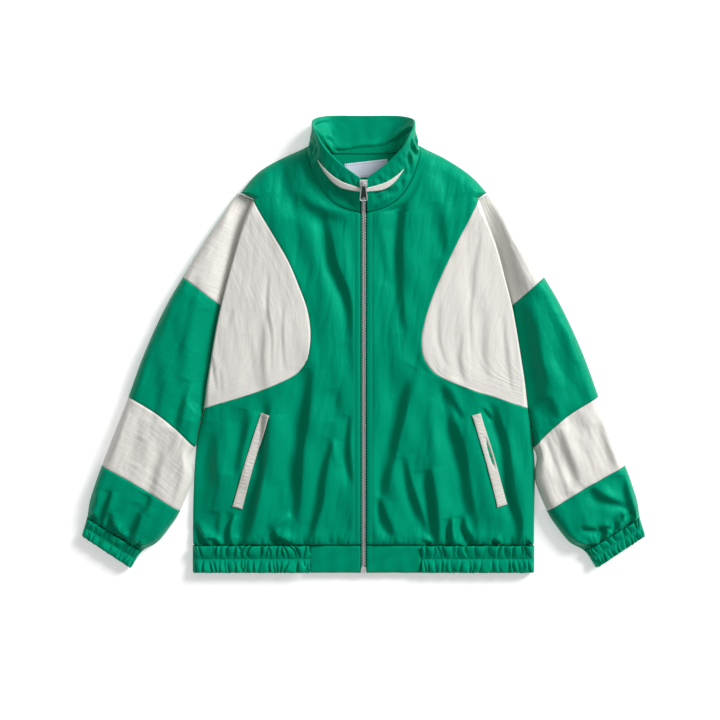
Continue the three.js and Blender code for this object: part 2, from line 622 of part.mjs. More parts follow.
/** A pocket welt, lying on its front's facets. */
function welt(side) {
  const w = WELTS[side];
  const along = new THREE.Vector2(w.topX - w.lowX, w.topY - w.lowY).normalize();
  const place = (u, v) => {
    const width = lerp(w.lowWidth, w.topWidth, v);
    const bend = WELT_BEND * Math.sin(Math.PI * v);
    const x = lerp(w.lowX, w.topX, v) + along.y * (width * u + bend * Math.sign(w.topX));
    return [x, lerp(w.lowY, w.topY, v) - along.x * width * u];
  };
  const face = (u, v) => {
    const [x, y] = place(u, v);
    const near = (i, j) => facetZ(side, x + WELT_REACH.x * i, y + WELT_REACH.y * j);
    const around = [-1, 0, 1].flatMap((i) => [-1, 0, 1].map((j) => near(i, j)));
    return new THREE.Vector3(x, y, Math.max(...around) + WELT_GAP + WELT_THICK);
  };
  return wall(`pocket_welt_${side}`, CREAM, evenly(-0.5, 0.5, 2), evenly(0, 1, 12), WELT_THICK, 1, face);
}

/** A point at x and y beside the zip, `drop` below the outer face of the band, fronts or collar. */
function zipPoint(x, y, drop) {
  const out = Math.max(Math.abs(x), ZIP_OPENING + SEAM);
  if (y < BAND_TOP_Y) return new THREE.Vector3(x, y, BAND_LOFT - drop);
  if (y < COLLAR[0].y) {
    const side = x < 0 ? "right" : "left";
    return new THREE.Vector3(x, y, facetZ(side, out * SIDES[side], y) - drop);
  }
  const v = (y - COLLAR[0].y) / (COLLAR[0].topY - COLLAR[0].y);
  const step = lerp(COLLAR[1].x, COLLAR[1].topX, v) - ZIP_OPENING;
  return collarOut(1 - (out - ZIP_OPENING) / step / COLLAR_ROWS, v, -drop).setX(x);
}

const CHAIN_ROWS = [
  ...[HEM_Y + BOX.length + SEAM, BAND_TOP_Y - SEAM / 2],
  ...FRONT_ROWS.filter((y) => y < COLLAR[0].y - 6),
  ...[COLLAR[0].y - 0.5, COLLAR[0].y + 4],
  ...evenly(COLLAR[0].y + 13, ZIP_TOP_Y, 3),
];

/** One tape, lying behind the fronts and the collar, and lower where the collar stands up. */
function zipTape(side, xs) {
  const face = (x, y) => {
    const corner = Math.exp(-(((y - COLLAR[0].y) / TAPE_CORNER.reach) ** 2));
    return zipPoint(x, y, TAPE_DROP + TAPE_CORNER.drop * corner);
  };
  return wall(`zip_tape_${side}`, TAPE, xs, [HEM_Y + 0.5, ...CHAIN_ROWS], TAPE_THICK, 1, face);
}

/** The zip: two tapes, the closed chain and the box at its foot. */
function zip() {
  const half = BOX.width / 2;
  const box = new THREE.Shape([
    new THREE.Vector2(-half, 0),
    new THREE.Vector2(half, 0),
    new THREE.Vector2(half - BOX.taper, BOX.length - BOX.neck),
    new THREE.Vector2(half - BOX.corner, BOX.length),
    new THREE.Vector2(BOX.corner - half, BOX.length),
    new THREE.Vector2(BOX.taper - half, BOX.length - BOX.neck),
  ]);
  const boxGeometry = new THREE.ExtrudeGeometry(box, { depth: BOX.thick, bevelEnabled: false });
  boxGeometry.translate(0, HEM_Y, BAND_LOFT - TAPE_DROP + SEAM);
  const tape = [SEAM / 2, ZIP_OPENING, TAPE_WIDTH];
  const chainFace = (x, y) => zipPoint(x, y, TAPE_DROP - SEAM - CHAIN_THICK);
  return [
    zipTape("right", tape.map((x) => -x).reverse()),
    zipTape("left", tape),
    wall("zip_chain", STEEL, [-CHAIN_HALF, CHAIN_HALF], CHAIN_ROWS, CHAIN_THICK, 1, chainFace),
    named("zip_box", boxGeometry, STEEL),
  ];
}

/** A flat plate: its outline and hole lie in a plane of length and height, and it is `width` across. */
function profile(outline, width, hole) {
  const shape = new THREE.Shape(outline.map(([along, up]) => new THREE.Vector2(along, up)));
  if (hole) shape.holes.push(new THREE.Path(hole.map(([along, up]) => new THREE.Vector2(along, up))));
  const geometry = new THREE.ExtrudeGeometry(shape, { depth: width, bevelEnabled: false });
  geometry.translate(0, 0, -width / 2);
  const [x, y, z] = [0, 1, 2].map((axis) => new THREE.Vector3().setComponent(axis, 1));
  return geometry.applyMatrix4(new THREE.Matrix4().makeBasis(y, z, x));
}

/** The slider on the chain, tilted with the collar, and its hinged pull. */
function slider() {
  const ahead = zipPoint(0, SLIDER.y + 3, 0).sub(zipPoint(0, SLIDER.y - 3, 0));
  const group = new THREE.Group();
  group.position.copy(zipPoint(0, SLIDER.y, -SLIDER.above));
  group.rotation.x = Math.atan2(ahead.z, ahead.y);
  const half = SLIDER.length / 2;
  const side = half - SLIDER.bevel;
  const plate = profile([[-half, 0], [half, 0], [side, SLIDER.thick], [-side, SLIDER.thick]], SLIDER.width);
  const foot = SLIDER.thick + SEAM;
  const top = SLIDER.thick + BRIDGE.height;
  const reach = BRIDGE.length / 2;
  const [shoulder, crown] = [top - BRIDGE.bevel, reach - BRIDGE.bevel];
  const arch = [
    ...[[-reach, foot], [reach, foot], [reach, shoulder]],
    ...[[crown, top], [-crown, top], [-reach, shoulder]],
  ];
  const [eyeLow, eyeTop] = [foot + BRIDGE.wall, top - BRIDGE.wall];
  const eye = reach - BRIDGE.wall;
  const bridge = profile(arch, BRIDGE.width, [[-eye, eyeLow], [-eye, eyeTop], [eye, eyeTop], [eye, eyeLow]]);
  const tab = pull();
  tab.position.z = (eyeLow + eyeTop) / 2;
  tab.rotation.x = PULL.restAngle;
  group.add(named("zip_slider", plate, STEEL), named("zip_bridge", bridge, STEEL), tab);
  return group;
}

/** The pull tab: a plate with an eye behind its bar and a window near its foot. */
function pull() {
  const bar = PULL.thick / 2;
  const [top, low] = [PULL.topWidth / 2, PULL.lowWidth / 2];
  const rightSide = [[top, bar], [top, -PULL.eyeLength - 1], [low, 2 - PULL.length], [low - 2, -PULL.length]];
  const leftSide = rightSide.map(([x, y]) => [-x, y]).reverse();
  const points = (corners) => corners.map(([x, y]) => new THREE.Vector2(x, y));
  const tab = new THREE.Shape(points([...rightSide, ...leftSide]));
  for (const [width, from, to] of [
    [PULL.eyeWidth, bar, PULL.eyeLength],
    [PULL.windowWidth, PULL.windowFrom, PULL.windowTo],
  ]) {
    const half = width / 2;
    tab.holes.push(new THREE.Path(points([[-half, -from], [-half, -to], [half, -to], [half, -from]])));
  }
  const geometry = new THREE.ExtrudeGeometry(tab, { depth: PULL.thick, bevelEnabled: false });
  geometry.translate(0, 0, -bar);
  return named("zip_pull", geometry, STEEL);
}

/** The blank neck label, lying on the inside of the back. */
function neckLabel() {
  const geometry = new THREE.BoxGeometry(NECK_LABEL.width, NECK_LABEL.height, NECK_LABEL.thick);
  const mesh = named("neck_label", geometry, LABEL);
  mesh.rotation.z = NECK_LABEL.turn;
  mesh.position.set(NECK_LABEL.x, NECK_LABEL.y, CLOTH + SEAM + NECK_LABEL.thick / 2);
  return mesh;
}

const jacket = new THREE.Group();
jacket.add(back(), hemBack(), ...collar(), ...zip(), slider(), neckLabel());
for (const side of Object.keys(SIDES)) {
  jacket.add(front(side), chestPanel(side), hemTab(side), hemElastic(side), welt(side), ...sleeve(side));
}

// The origin is the middle of the footprint, on the floor
const bounds = new THREE.Box3().setFromObject(jacket, true);
const middle = bounds.getCenter(new THREE.Vector3());
jacket.position.set(-middle.x, -middle.y, -bounds.min.z);

export default jacket;
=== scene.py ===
"""A zip-up track jacket, laid flat on its back and seen from straight above.

The tables and forms repeat those of the CAD part, in millimetres, so each shell lies where its solid is.
What the solids leave out is added here: fine creases, gathers, stitches, the zip's teeth and the finishes.
"""

import logging
import math
from dataclasses import dataclass, field
from enum import Enum
from typing import Any, Iterable, Sequence, Union

import bpy
import numpy as np
from mathutils import Matrix, Vector


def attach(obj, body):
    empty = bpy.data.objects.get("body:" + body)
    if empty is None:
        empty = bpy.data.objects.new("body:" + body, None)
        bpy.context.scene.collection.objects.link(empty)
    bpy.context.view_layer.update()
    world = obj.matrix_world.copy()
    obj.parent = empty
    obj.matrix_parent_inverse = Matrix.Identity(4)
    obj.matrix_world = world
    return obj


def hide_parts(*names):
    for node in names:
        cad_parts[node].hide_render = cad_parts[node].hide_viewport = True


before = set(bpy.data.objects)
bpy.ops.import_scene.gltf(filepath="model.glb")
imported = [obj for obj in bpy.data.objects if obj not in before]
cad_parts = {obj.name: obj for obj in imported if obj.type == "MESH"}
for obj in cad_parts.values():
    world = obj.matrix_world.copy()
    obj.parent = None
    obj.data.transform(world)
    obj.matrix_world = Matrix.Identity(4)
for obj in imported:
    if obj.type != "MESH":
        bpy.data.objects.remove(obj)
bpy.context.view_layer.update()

logging.basicConfig(level=logging.INFO, format="%(name)s: %(message)s")
log = logging.getLogger("jacket")

Array = np.ndarray

MM = 0.001
FRAME_SHIFT_Y = -0.1
BODY = "jacket"
PULL_BODY = "pull_tab"

# Cloth and seams, in millimetres as every size below
SHELL = 1.1
ELASTIC_SHELL = 1.8
SEAM = 0.3
CLOTH = 1.6
FACING = 1.3

# Overall sizes
HEM_Y = -389.5
BAND_TOP_Y = -343.3
UNDERARM_Y = -110.0
ARMHOLE_TOP_Y = 249.0
CHEST_LOW_Y = -108.0
CHEST_TOP_Y = 246.5
SHOULDER_TIP_Y = 258.0
BACK_NECK_Y = 330.0

# Heights of the laid cloth above the floor
SIDE_SEAM_Z = 7.0
ARM_SEAM_Z = 9.0
NECK_SEAM_Z = 2.0
BAND_LOFT = 14.5
BACK_ROLL = 8.0
SIDE_DROP = 5.0
HEM_ROLL = 9.0

# Zip
ZIP_OPENING = 5.2
CHAIN_HALF = 3.6
CHAIN_THICK = 2.0
TAPE_WIDTH = 14.0
TAPE_DROP = 2.3
ZIP_TOP_Y = 269.0
BOX_LENGTH = 11.0

# Outline of the body: y, then the distance from the centre line on the wearer's right and left
SIDE_OUTLINE = (
    (-389.5, 291.6, 291.6), (-343, 291.8, 291.8), (-287, 291.8, 292.4), (-253, 291, 293),
    (-207, 289, 293.2), (-172, 286, 290), (-150, 283, 287.5), (-110, 273.5, 281),
    (-68, 267.8, 276), (-25, 261, 269.5), (25, 252.5, 261.3), (65, 244, 253.7),
    (115, 231, 240.8), (166, 217, 227), (211, 203, 210), (249, 188.5, 196.5),
)
SHOULDER_OUTLINE = (
    (258, 210.5, 211), (266, 204.5, 204.5), (281, 192.5, 191), (296, 177, 173),
    (313, 149, 147), (324, 126.5, 127.5), (335, 102.5, 105), (343, 91, 94),
)
CHEST_OUTLINE = (
    (-110, 270, 279), (-104, 255, 264), (-96, 227, 240), (-87, 197, 212), (-77, 169, 181),
    (-66, 142, 152), (-54, 118, 127), (-42, 105.5, 113.5), (-25, 95.8, 102.7), (0, 90.8, 98.2),
    (25, 90.3, 100.5), (60, 96, 110), (100, 110.5, 125), (140, 127.5, 143.5),
    (180, 150.5, 163), (220, 174.5, 184), (246, 188.5, 196.5),
)

# Height of the front along the centre line, and the radius of the roll at its edge
FRONT_LOFT = (
    (-343.3, 17), (-300, 21), (-200, 24.5), (0, 26), (120, 27.5),
    (190, 30), (223, 32), (300, 26), (343, 22),
)
EDGE_ROLL = ((-140, 17), (-95, 9), (235, 9), (275, 26))

# Collar from the zip to the middle of the back: neck seam, top edge and the foot of its facing
COLLAR_NECK = (
    (5.2, 222.9), (27, 228), (48, 237.5), (64, 252), (76, 269), (85, 288),
    (92, 308), (95.5, 324), (93, 335.5), (76, 331), (45, 330.3), (0, 330.3),
)
COLLAR_TOP = (
    (5.2, 276.5, 54), (17, 285, 55), (30, 294, 56), (43, 304.5, 57.5), (55, 316, 60), (66, 327, 62),
    (74.5, 340, 62), (81, 353, 57), (87, 367, 45), (85, 381, 22), (58, 389, 2.5), (0, 389.5, 0),
)
COLLAR_FOOT = (
    (5.2, 243, 27), (22, 247, 27.5), (38, 256, 27), (50, 268, 26), (58, 282, 24), (63, 297, 21),
    (65, 312, 17), (64, 323, 12), (59, 328, 7), (48, 327, 4), (28, 326.5, 3.1), (0, 326, 3),
)
BACK_NECK_Z = (1.0, 0.0, 0.0)

# Sleeve rows from the shoulder to the cuff: outer fold x and y, inner edge x and y, height, bow of a seam
SLEEVE_ROWS = (
    (214.5, 258.4, 190, 249, 14, 0), (239, 223.5, 190, 190, 22, 0), (273, 172, 190, 128, 26, 0),
    (308.5, 114.5, 190, 66, 28, 0), (333, 73, 190, 14, 29, 2), (355, 28.5, 190, -42, 29, 4),
    (378, -25, 190, -104, 29, 6), (401.3, -89, 288, -175.4, 28, 7), (424, -148, 292, -229, 28, 4),
    (446.5, -206, 313, -284.3, 28, 2), (458, -238, 332, -314, 29, 0), (467, -267, 352, -338, 27, 0),
    (472, -296, 378, -353.5, 22, 0), (481, -326, 397, -381.5, 15, 0),
)


class Side(Enum):
    """The wearer's right or left, with the sign of its x."""

    RIGHT = -1
    LEFT = 1

    @property
    def label(self) -> str:
        """The side's word in a piece's name."""
        return self.name.lower()

    def pick(self, right: Any, left: Any) -> Any:
        """Whichever of two values belongs to this side."""
        return left if self is Side.LEFT else right


class Rim(Enum):
    """One edge of a piece's grid: the grid's axis, and whether it is that axis's end."""

    U_START = (0, False)
    U_END = (0, True)
    V_START = (1, False)
    V_END = (1, True)


def blend(a: Any, b: Any, share: Any) -> Any:
    """The value between a and b at a share of the way."""
    return a + (b - a) * share


def smooth(value: Any, low: float, high: float) -> Any:
    """A soft step from 0 at low to 1 at high."""
    t = np.clip((value - low) / (high - low), 0, 1)
    return t * t * (3 - 2 * t)


def roll(distance: Any, radius: Any) -> Any:
    """A quarter ellipse: 0 and upright at a rolled edge, 1 from the radius inward."""
    left = 1 - np.clip(distance / radius, 0, 1)
    return np.sqrt(1 - left * left)


def graded(length: float, fine: float, coarse: float, reach: float = 7.0) -> Array:
    """Stations from 0 to 1 that lie close together near both ends.

    Args:
        length: the length that the stations cover.
        fine: their distance at the ends.
        coarse: their distance in the middle.
        reach: how far from an end they stay close.

    Returns:
        The stations, rising from 0 to 1.
    """
    places = np.linspace(0, length, 2000)
    near = np.minimum(places, length - places)
    density = 1 / blend(fine, coarse, smooth(near, reach * 0.4, reach * 2))
    count = np.concatenate([[0], np.cumsum((density[1:] + density[:-1]) / 2 * np.diff(places))])
    steps = max(int(math.ceil(count[-1])), 4)
    return np.interp(np.linspace(0, count[-1], steps + 1), count, places) / length


class Line:
    """A smooth line through places and values, level beyond its ends."""

    def __init__(self, places: Sequence[float], values: Sequence[float]) -> None:
        """Takes the rising places and the value at each."""
        self.places = np.asarray(places, float)
        self.values = np.asarray(values, float)
        last = len(self.places) - 1
        before = np.maximum(np.arange(last + 1) - 1, 0)
        after = np.minimum(np.arange(last + 1) + 1, last)
        rise = self.values[after] - self.values[before]
        self.slopes = rise / (self.places[after] - self.places[before])

    def __call__(self, at: Any) -> Array:
        """The line's value at one place or many."""
        at = np.clip(np.asarray(at, float), self.places[0], self.places[-1])
        i = np.clip(np.searchsorted(self.places, at, side="right") - 1, 0, len(self.places) - 2)
        span = self.places[i + 1] - self.places[i]
        t = (at - self.places[i]) / span
        rise = self.values[i + 1] - self.values[i]
        a = self.slopes[i] * span - rise
        b = rise - self.slopes[i + 1] * span
        return self.values[i] + rise * t + t * (1 - t) * (a * (1 - t) + b * t)


@dataclass(frozen=True)
class Crease:
    """A fold along a given bent line.

    points are its (x, y) places, depth is negative for a trough and positive for a ridge. lean makes the
    flank on the left of the line, as it runs, steep and then raised, by that share of the depth.
    """

    points: tuple[tuple[float, float], ...]
    width: float
    depth: float
    lean: float = 0.0

    def height(self, x: Array, y: Array) -> Array:
        """The fold's height at each point.

        Args:
            x: the points' x.
            y: the points' y.

        Returns:
            The height that the fold adds there.
        """
        spots = np.asarray(self.points, float)
        steps = np.concatenate([[0], np.cumsum(np.hypot(*np.diff(spots, axis=0).T))])
        at = np.linspace(0, steps[-1], 5 * (len(spots) - 1) + 1)
        line = np.column_stack([Line(steps, spots[:, i])(at) for i in (0, 1)])
        best = np.full(x.shape, 1e9)
        share = np.zeros(x.shape)
        flank = np.ones(x.shape)
        for i, (start, end) in enumerate(zip(line[:-1], line[1:])):
            dx, dy = end - start
            length = dx * dx + dy * dy
            t = np.clip(((x - start[0]) * dx + (y - start[1]) * dy) / length, 0, 1)
            away = np.hypot(x - start[0] - t * dx, y - start[1] - t * dy)
            nearer = away < best
            best = np.where(nearer, away, best)
            share = np.where(nearer, (i + t) / (len(line) - 1), share)
            side = np.sign(dx * (y - start[1]) - dy * (x - start[0]))
            flank = np.where(nearer, side, flank)
        taper = np.sqrt(np.sin(np.pi * np.clip(share, 0.002, 0.998)))
        if not self.lean:
            return self.depth * taper * np.exp(-((best / self.width) ** 2))
        out = best * flank / self.width
        steep = 1 - (1 + self.lean) * smooth(out, 0, 1.5)
        beyond = -self.lean * np.exp(-(((out - 1.5) / 1.8) ** 2))
        gentle = np.exp(-((out / 1.6) ** 2))
        return self.depth * taper * np.where(out < 0, gentle, np.where(out < 1.5, steep, beyond))


@dataclass(frozen=True)
class Ripple:
    """Low uneven waves in cloth, with no pattern that repeats.

    size is the distance between crests, stretch how many times longer a crest is, direction the way that
    the crests run in degrees from x, and crisp is 0 for round waves and 1 for narrow ridges.
    """

    size: float
    stretch: float
    direction: float
    height: float
    seed: int
    crisp: float = 0.0

    def at(self, x: Array, y: Array) -> Array:
        """The waves' height at each point.

        Args:
            x: the points' x.
            y: the points' y.

        Returns:
            The height that the waves add there.
        """
        rng = np.random.default_rng(self.seed)
        angle = math.radians(self.direction)
        along = x * math.cos(angle) + y * math.sin(angle)
        across = y * math.cos(angle) - x * math.sin(angle)
        count = 16
        total = np.zeros(np.broadcast(x, y).shape)
        for _ in range(count):
            wave = 2 * math.pi / self.size * rng.lognormal(0, 0.35)
            slant = 2 * math.pi / (self.size * self.stretch) * rng.normal(0, 1)
            total += np.cos(across * wave + along * slant + rng.uniform(0, 2 * math.pi))
        total /= math.sqrt(count / 2)
        ridged = 1 - 2 * np.minimum(np.abs(total), 1)
        return self.height * blend(total, ridged, self.crisp)


class Shape:
    """The laid jacket's large form: its outline and the height of its front."""

    def __init__(self) -> None:
        """Reads the tables."""
        self.lines = {
            name: {
                side: Line([row[0] for row in rows], [row[side.pick(1, 2)] for row in rows])
                for side in Side
            }
            for name, rows in (
                ("side", SIDE_OUTLINE),
                ("shoulder", SHOULDER_OUTLINE),
                ("chest", CHEST_OUTLINE),
            )
        }
        self.loft = Line(*zip(*FRONT_LOFT))
        self.radius = Line(*zip(*EDGE_ROLL))
        neck = COLLAR_NECK[:9]
        self.neck_x = Line([y for _, y in neck], [x for x, _ in neck])

    def edge(self, side: Side, y: Any) -> Array:
        """How far the body's edge is from the centre line.

        Args:
            side: the wearer's right or left.
            y: the places along the body.

        Returns:
            The distance at each place.
        """
        low, high = self.lines["side"][side], self.lines["shoulder"][side]
        share = (y - ARMHOLE_TOP_Y) / (SHOULDER_TIP_Y - ARMHOLE_TOP_Y)
        between = blend(low(ARMHOLE_TOP_Y), high(SHOULDER_TIP_Y), share)
        return np.where(y <= ARMHOLE_TOP_Y, low(y), np.where(y >= SHOULDER_TIP_Y, high(y), between))

    def chest(self, side: Side, y: Any) -> Array:
        """How far the chest panel's inner edge is from the centre line, at each y."""
        return self.lines["chest"][side](y)

    def seam_z(self, y: Array) -> Array:
        """Height of the seam that a front's edge rolls down to.

        Args:
            y: the places along the body.

        Returns:
            The height at each place.
        """
        low = smooth(y, UNDERARM_Y - 12, UNDERARM_Y)
        armhole = low * (1 - smooth(y, ARMHOLE_TOP_Y, SHOULDER_TIP_Y))
        neck = smooth(y, BACK_NECK_Y - 16, BACK_NECK_Y)
        return blend(blend(SIDE_SEAM_Z, ARM_SEAM_Z, armhole), NECK_SEAM_Z, neck)

    def calm(self, x: Array, y: Array) -> Array:
        """How much of the creases shows at each point: none at the zip and at the neck seam."""
        beside_neck = np.abs(x) - self.neck_x(y) + np.maximum(COLLAR_NECK[0][1] - y, 0)
        return smooth(np.abs(x), TAPE_WIDTH - 1, 30) * smooth(beside_neck, 3, 26)

    def front_z(self, side: Side, x: Array, y: Array, relief: Any = 0.0) -> Array:
        """Height of the front's outer face.

        Args:
            side: the wearer's right or left.
            x: the points' x.
            y: the points' y.
            relief: what the creases add at each point.

        Returns:
            The height at each point.
        """
        edge = self.edge(side, y)
        lean = (self.edge(side, y + 1) - self.edge(side, y - 1)) / 2
        slope = np.where(y > SHOULDER_TIP_Y, lean, 0)
        inward = np.maximum(edge - np.abs(x), 0) / np.hypot(1, slope)
        seam = self.seam_z(y)
        loft = self.loft(y) - SIDE_DROP * (np.abs(x) / edge) ** 2 - seam
        armhole = smooth(y, UNDERARM_Y, UNDERARM_Y + 50) * (1 - smooth(y, ARMHOLE_TOP_Y - 60, ARMHOLE_TOP_Y))
        radius = self.radius(y) * (1 - 0.4 * armhole)
        full = seam + (loft + relief * self.calm(x, y)) * roll(inward, radius)
        low = np.minimum(BAND_LOFT, full)
        return low + (full - low) * roll(y - BAND_TOP_Y, HEM_ROLL)

    def band_z(self, side: Side, x: Array, y: Array) -> Array:
        """Height of the hem band's outer face at each point of one side."""
        inward = self.edge(side, y) - np.abs(x)
        return SIDE_SEAM_Z + (BAND_LOFT - SIDE_SEAM_Z) * roll(inward, 10)


SHAPE = Shape()


@dataclass(frozen=True)
class Cut:
    """A piece's flat cut in metres, with the area of one that isn't a rectangle."""

    width: float
    length: float
    area: Union[float, None] = None


@dataclass
class Panel:
    """One sewn piece: the grid of its outer face in millimetres, and the way outward.

    turn is 1 where the grid's first axis crossed with its second points outward, and -1 where it points in.
    """

    name: str
    points: Array
    turn: int

    def normals(self) -> Array:
        """The outward direction at each point of the grid."""
        du = np.gradient(self.points, axis=0)
        dv = np.gradient(self.points, axis=1)
        normal = np.cross(du, dv) * self.turn
        return normal / np.maximum(np.linalg.norm(normal, axis=2, keepdims=True), 1e-9)

    def travelled(self, axis: int) -> Array:
        """The length along the cloth from the axis's start to each point."""
        steps = np.linalg.norm(np.diff(self.points, axis=axis), axis=2)
        start = np.zeros_like(np.take(steps, [0], axis=axis))
        return np.concatenate([start, np.cumsum(steps, axis=axis)], axis=axis)

    def away(self, rim: Rim) -> Array:
        """The length along the cloth from a rim to each point."""
        axis, at_end = rim.value
        travelled = self.travelled(axis)
        return np.take(travelled, [-1], axis=axis) - travelled if at_end else travelled

    def raised(self, relief: Any) -> "Panel":
        """The same piece with its face moved out by the relief."""
        return Panel(self.name, self.points + self.normals() * np.asarray(relief)[..., None], self.turn)

    def sewn(self, rims: Iterable[Rim], depth: float = 0.9, width: float = 2.0) -> "Panel":
        """The piece drawn down along its seams.

        Args:
            rims: the rims that are seams.
            depth: how far the seam draws the cloth down.
            width: how wide the dip is.

        Returns:
            The piece with the dips in it.
        """
        dip = sum(np.exp(-((self.away(rim) / width) ** 2)) for rim in rims)
        return self.raised(-depth * np.minimum(dip, 1))

    def grooved(self, rim: Rim, inset: float, depth: float = 0.35, width: float = 1.0) -> "Panel":
        """The piece with the groove that a row of stitches pulls, at a distance from a rim."""
        return self.raised(-depth * np.exp(-(((self.away(rim) - inset) / width) ** 2)))

    def line_beside(self, rim: Rim, inset: float, lift: float = 0.05) -> Array:
        """A row of stitches beside a rim.

        Args:
            rim: the rim that the row follows.
            inset: its distance from the rim.
            lift: its height over the face.

        Returns:
            The row's points.
        """
        axis, at_end = rim.value
        away = np.moveaxis(self.away(rim), axis, 0)
        lifted = np.moveaxis(self.points + lift * self.normals(), axis, 0)
        if at_end:
            away, lifted = away[::-1], lifted[::-1]
        rows = []
        for i in range(away.shape[1]):
            if away[-1, i] < 2 * inset:
                continue
            rows.append([np.interp(inset, away[:, i], lifted[:, i, k]) for k in range(3)])
        return np.array(rows)

    def mesh(self, thick: float, material: bpy.types.Material) -> bpy.types.Object:
        """The piece as a closed thin shell, in metres.

        Args:
            thick: the shell's thickness in millimetres.
            material: its finish.

        Returns:
            The new object, with a map of its cloth in metres.
        """
        n, m = self.points.shape[:2]
        inner = self.points - self.normals() * thick
        places = np.concatenate([self.points.reshape(-1, 3), inner.reshape(-1, 3)])
        grid = np.arange(n * m).reshape(n, m)
        a, b, c, d = grid[:-1, :-1], grid[1:, :-1], grid[1:, 1:], grid[:-1, 1:]
        under = n * m
        quads = [np.stack([a, b, c, d], -1), np.stack([a, d, c, b], -1) + under]
        for low, high in (
            (grid[1:, 0], grid[:-1, 0]),
            (grid[:-1, -1], grid[1:, -1]),
            (grid[-1, 1:], grid[-1, :-1]),
            (grid[0, :-1], grid[0, 1:]),
        ):
            quads.append(np.stack([low, high, high + under, low + under], -1))
        faces = np.concatenate([quad.reshape(-1, 4) for quad in quads])
        if self.turn < 0:
            faces = faces[:, ::-1]
        flat = np.stack([self.travelled(0), self.travelled(1)], -1).reshape(-1, 2) * MM
        return new_object(self.name, places, faces, material, np.concatenate([flat, flat]))


def new_object(
    name: str,
    places: Array,
    faces: Array,
    material: bpy.types.Material,
    flat: Union[Array, None] = None,
) -> bpy.types.Object:
    """A new mesh object in the scene.

    Args:
        name: the piece's name.
        places: its points in the CAD part's millimetres.
        faces: its faces, as rows of point numbers.
        material: its finish.
        flat: the map of its cloth, one place for each point.

    Returns:
        The object, smoothly shaded, with its place in its mesh.
    """
    mesh = bpy.data.meshes.new(name)
    mesh.from_pydata(((places + [0, FRAME_SHIFT_Y, 0]) * MM).tolist(), [], np.asarray(faces).tolist())
    mesh.update()
    mesh.shade_smooth()
    if flat is not None:
        layer = mesh.uv_layers.new(name="cloth")
        corners = np.empty(len(mesh.loops), dtype=np.int64)
        mesh.loops.foreach_get("vertex_index", corners)
        layer.data.foreach_set("uv", flat[corners].ravel())
    mesh.materials.append(material)
    piece = bpy.data.objects.new(name, mesh)
    bpy.context.collection.objects.link(piece)
    return piece


Value = Union["Sock", float]


class Sock:
    """A shader number that Python's operators work on."""

    def __init__(self, nodes: "Nodes", socket: bpy.types.NodeSocket) -> None:
        """Wraps one output socket."""
        self.nodes = nodes
        self.socket = socket

    def math(self, operation: str, *values: Value) -> "Sock":
        """A Math node on this number and others."""
        made = self.nodes.add("ShaderNodeMath", {"operation": operation}, dict(enumerate(values)))
        return Sock(self.nodes, made.outputs[0])

    def __add__(self, other: Value) -> "Sock":
        """This number plus another."""
        return self.math("ADD", self, other)

    __radd__ = __add__

    def __mul__(self, other: Value) -> "Sock":
        """This number times another."""
        return self.math("MULTIPLY", self, other)

    __rmul__ = __mul__

    def __sub__(self, other: Value) -> "Sock":
        """This number less another."""
        return self.math("SUBTRACT", self, other)

    def __rsub__(self, other: Value) -> "Sock":
        """Another number less this one."""
        return self.math("SUBTRACT", other, self)

    def __pow__(self, other: Value) -> "Sock":
        """This number to a power."""
        return self.math("POWER", self, other)

    def __abs__(self) -> "Sock":
        """This number without its sign."""
        return self.math("ABSOLUTE", self)

    def sine(self) -> "Sock":
        """The sine of this number."""
        return self.math("SINE", self)


class Nodes:
    """The nodes of one material or Geometry Nodes tree."""

    def __init__(self, tree: bpy.types.NodeTree) -> None:
        """Starts from an empty tree."""
        self.tree = tree
        tree.nodes.clear()

    def add(self, kind: str, settings: dict[str, Any], values: dict[Any, Any]) -> bpy.types.Node:
        """Adds one node.

        Args:
            kind: the node's type.
            settings: its own settings, which are set first.
            values: a number, a colour, a socket or a Sock for each input that is set.

        Returns:
            The new node.
        """
        made = self.tree.nodes.new(kind)
        for name, setting in settings.items():
            setattr(made, name, setting)
        for name, value in values.items():
            if isinstance(value, Sock):
                value = value.socket
            if isinstance(value, bpy.types.NodeSocket):
                self.tree.links.new(value, made.inputs[name])
            else:
                made.inputs[name].default_value = value
        return made

    def sock(self, kind: str, output: Any, settings: dict[str, Any], values: dict[Any, Any]) -> Sock:
        """Adds one node and wraps one of its outputs."""
        return Sock(self, self.add(kind, settings, values).outputs[output])


@dataclass(frozen=True)
class ShaderStart:
    """A new material with its output node, as every finish begins."""

    name: str

    def open(self) -> tuple[bpy.types.Material, Nodes]:
        """Makes the material.

        Returns:
            The material and its nodes.
        """
        material = bpy.data.materials.new(self.name)
        material.use_nodes = True
        return material, Nodes(material.node_tree)


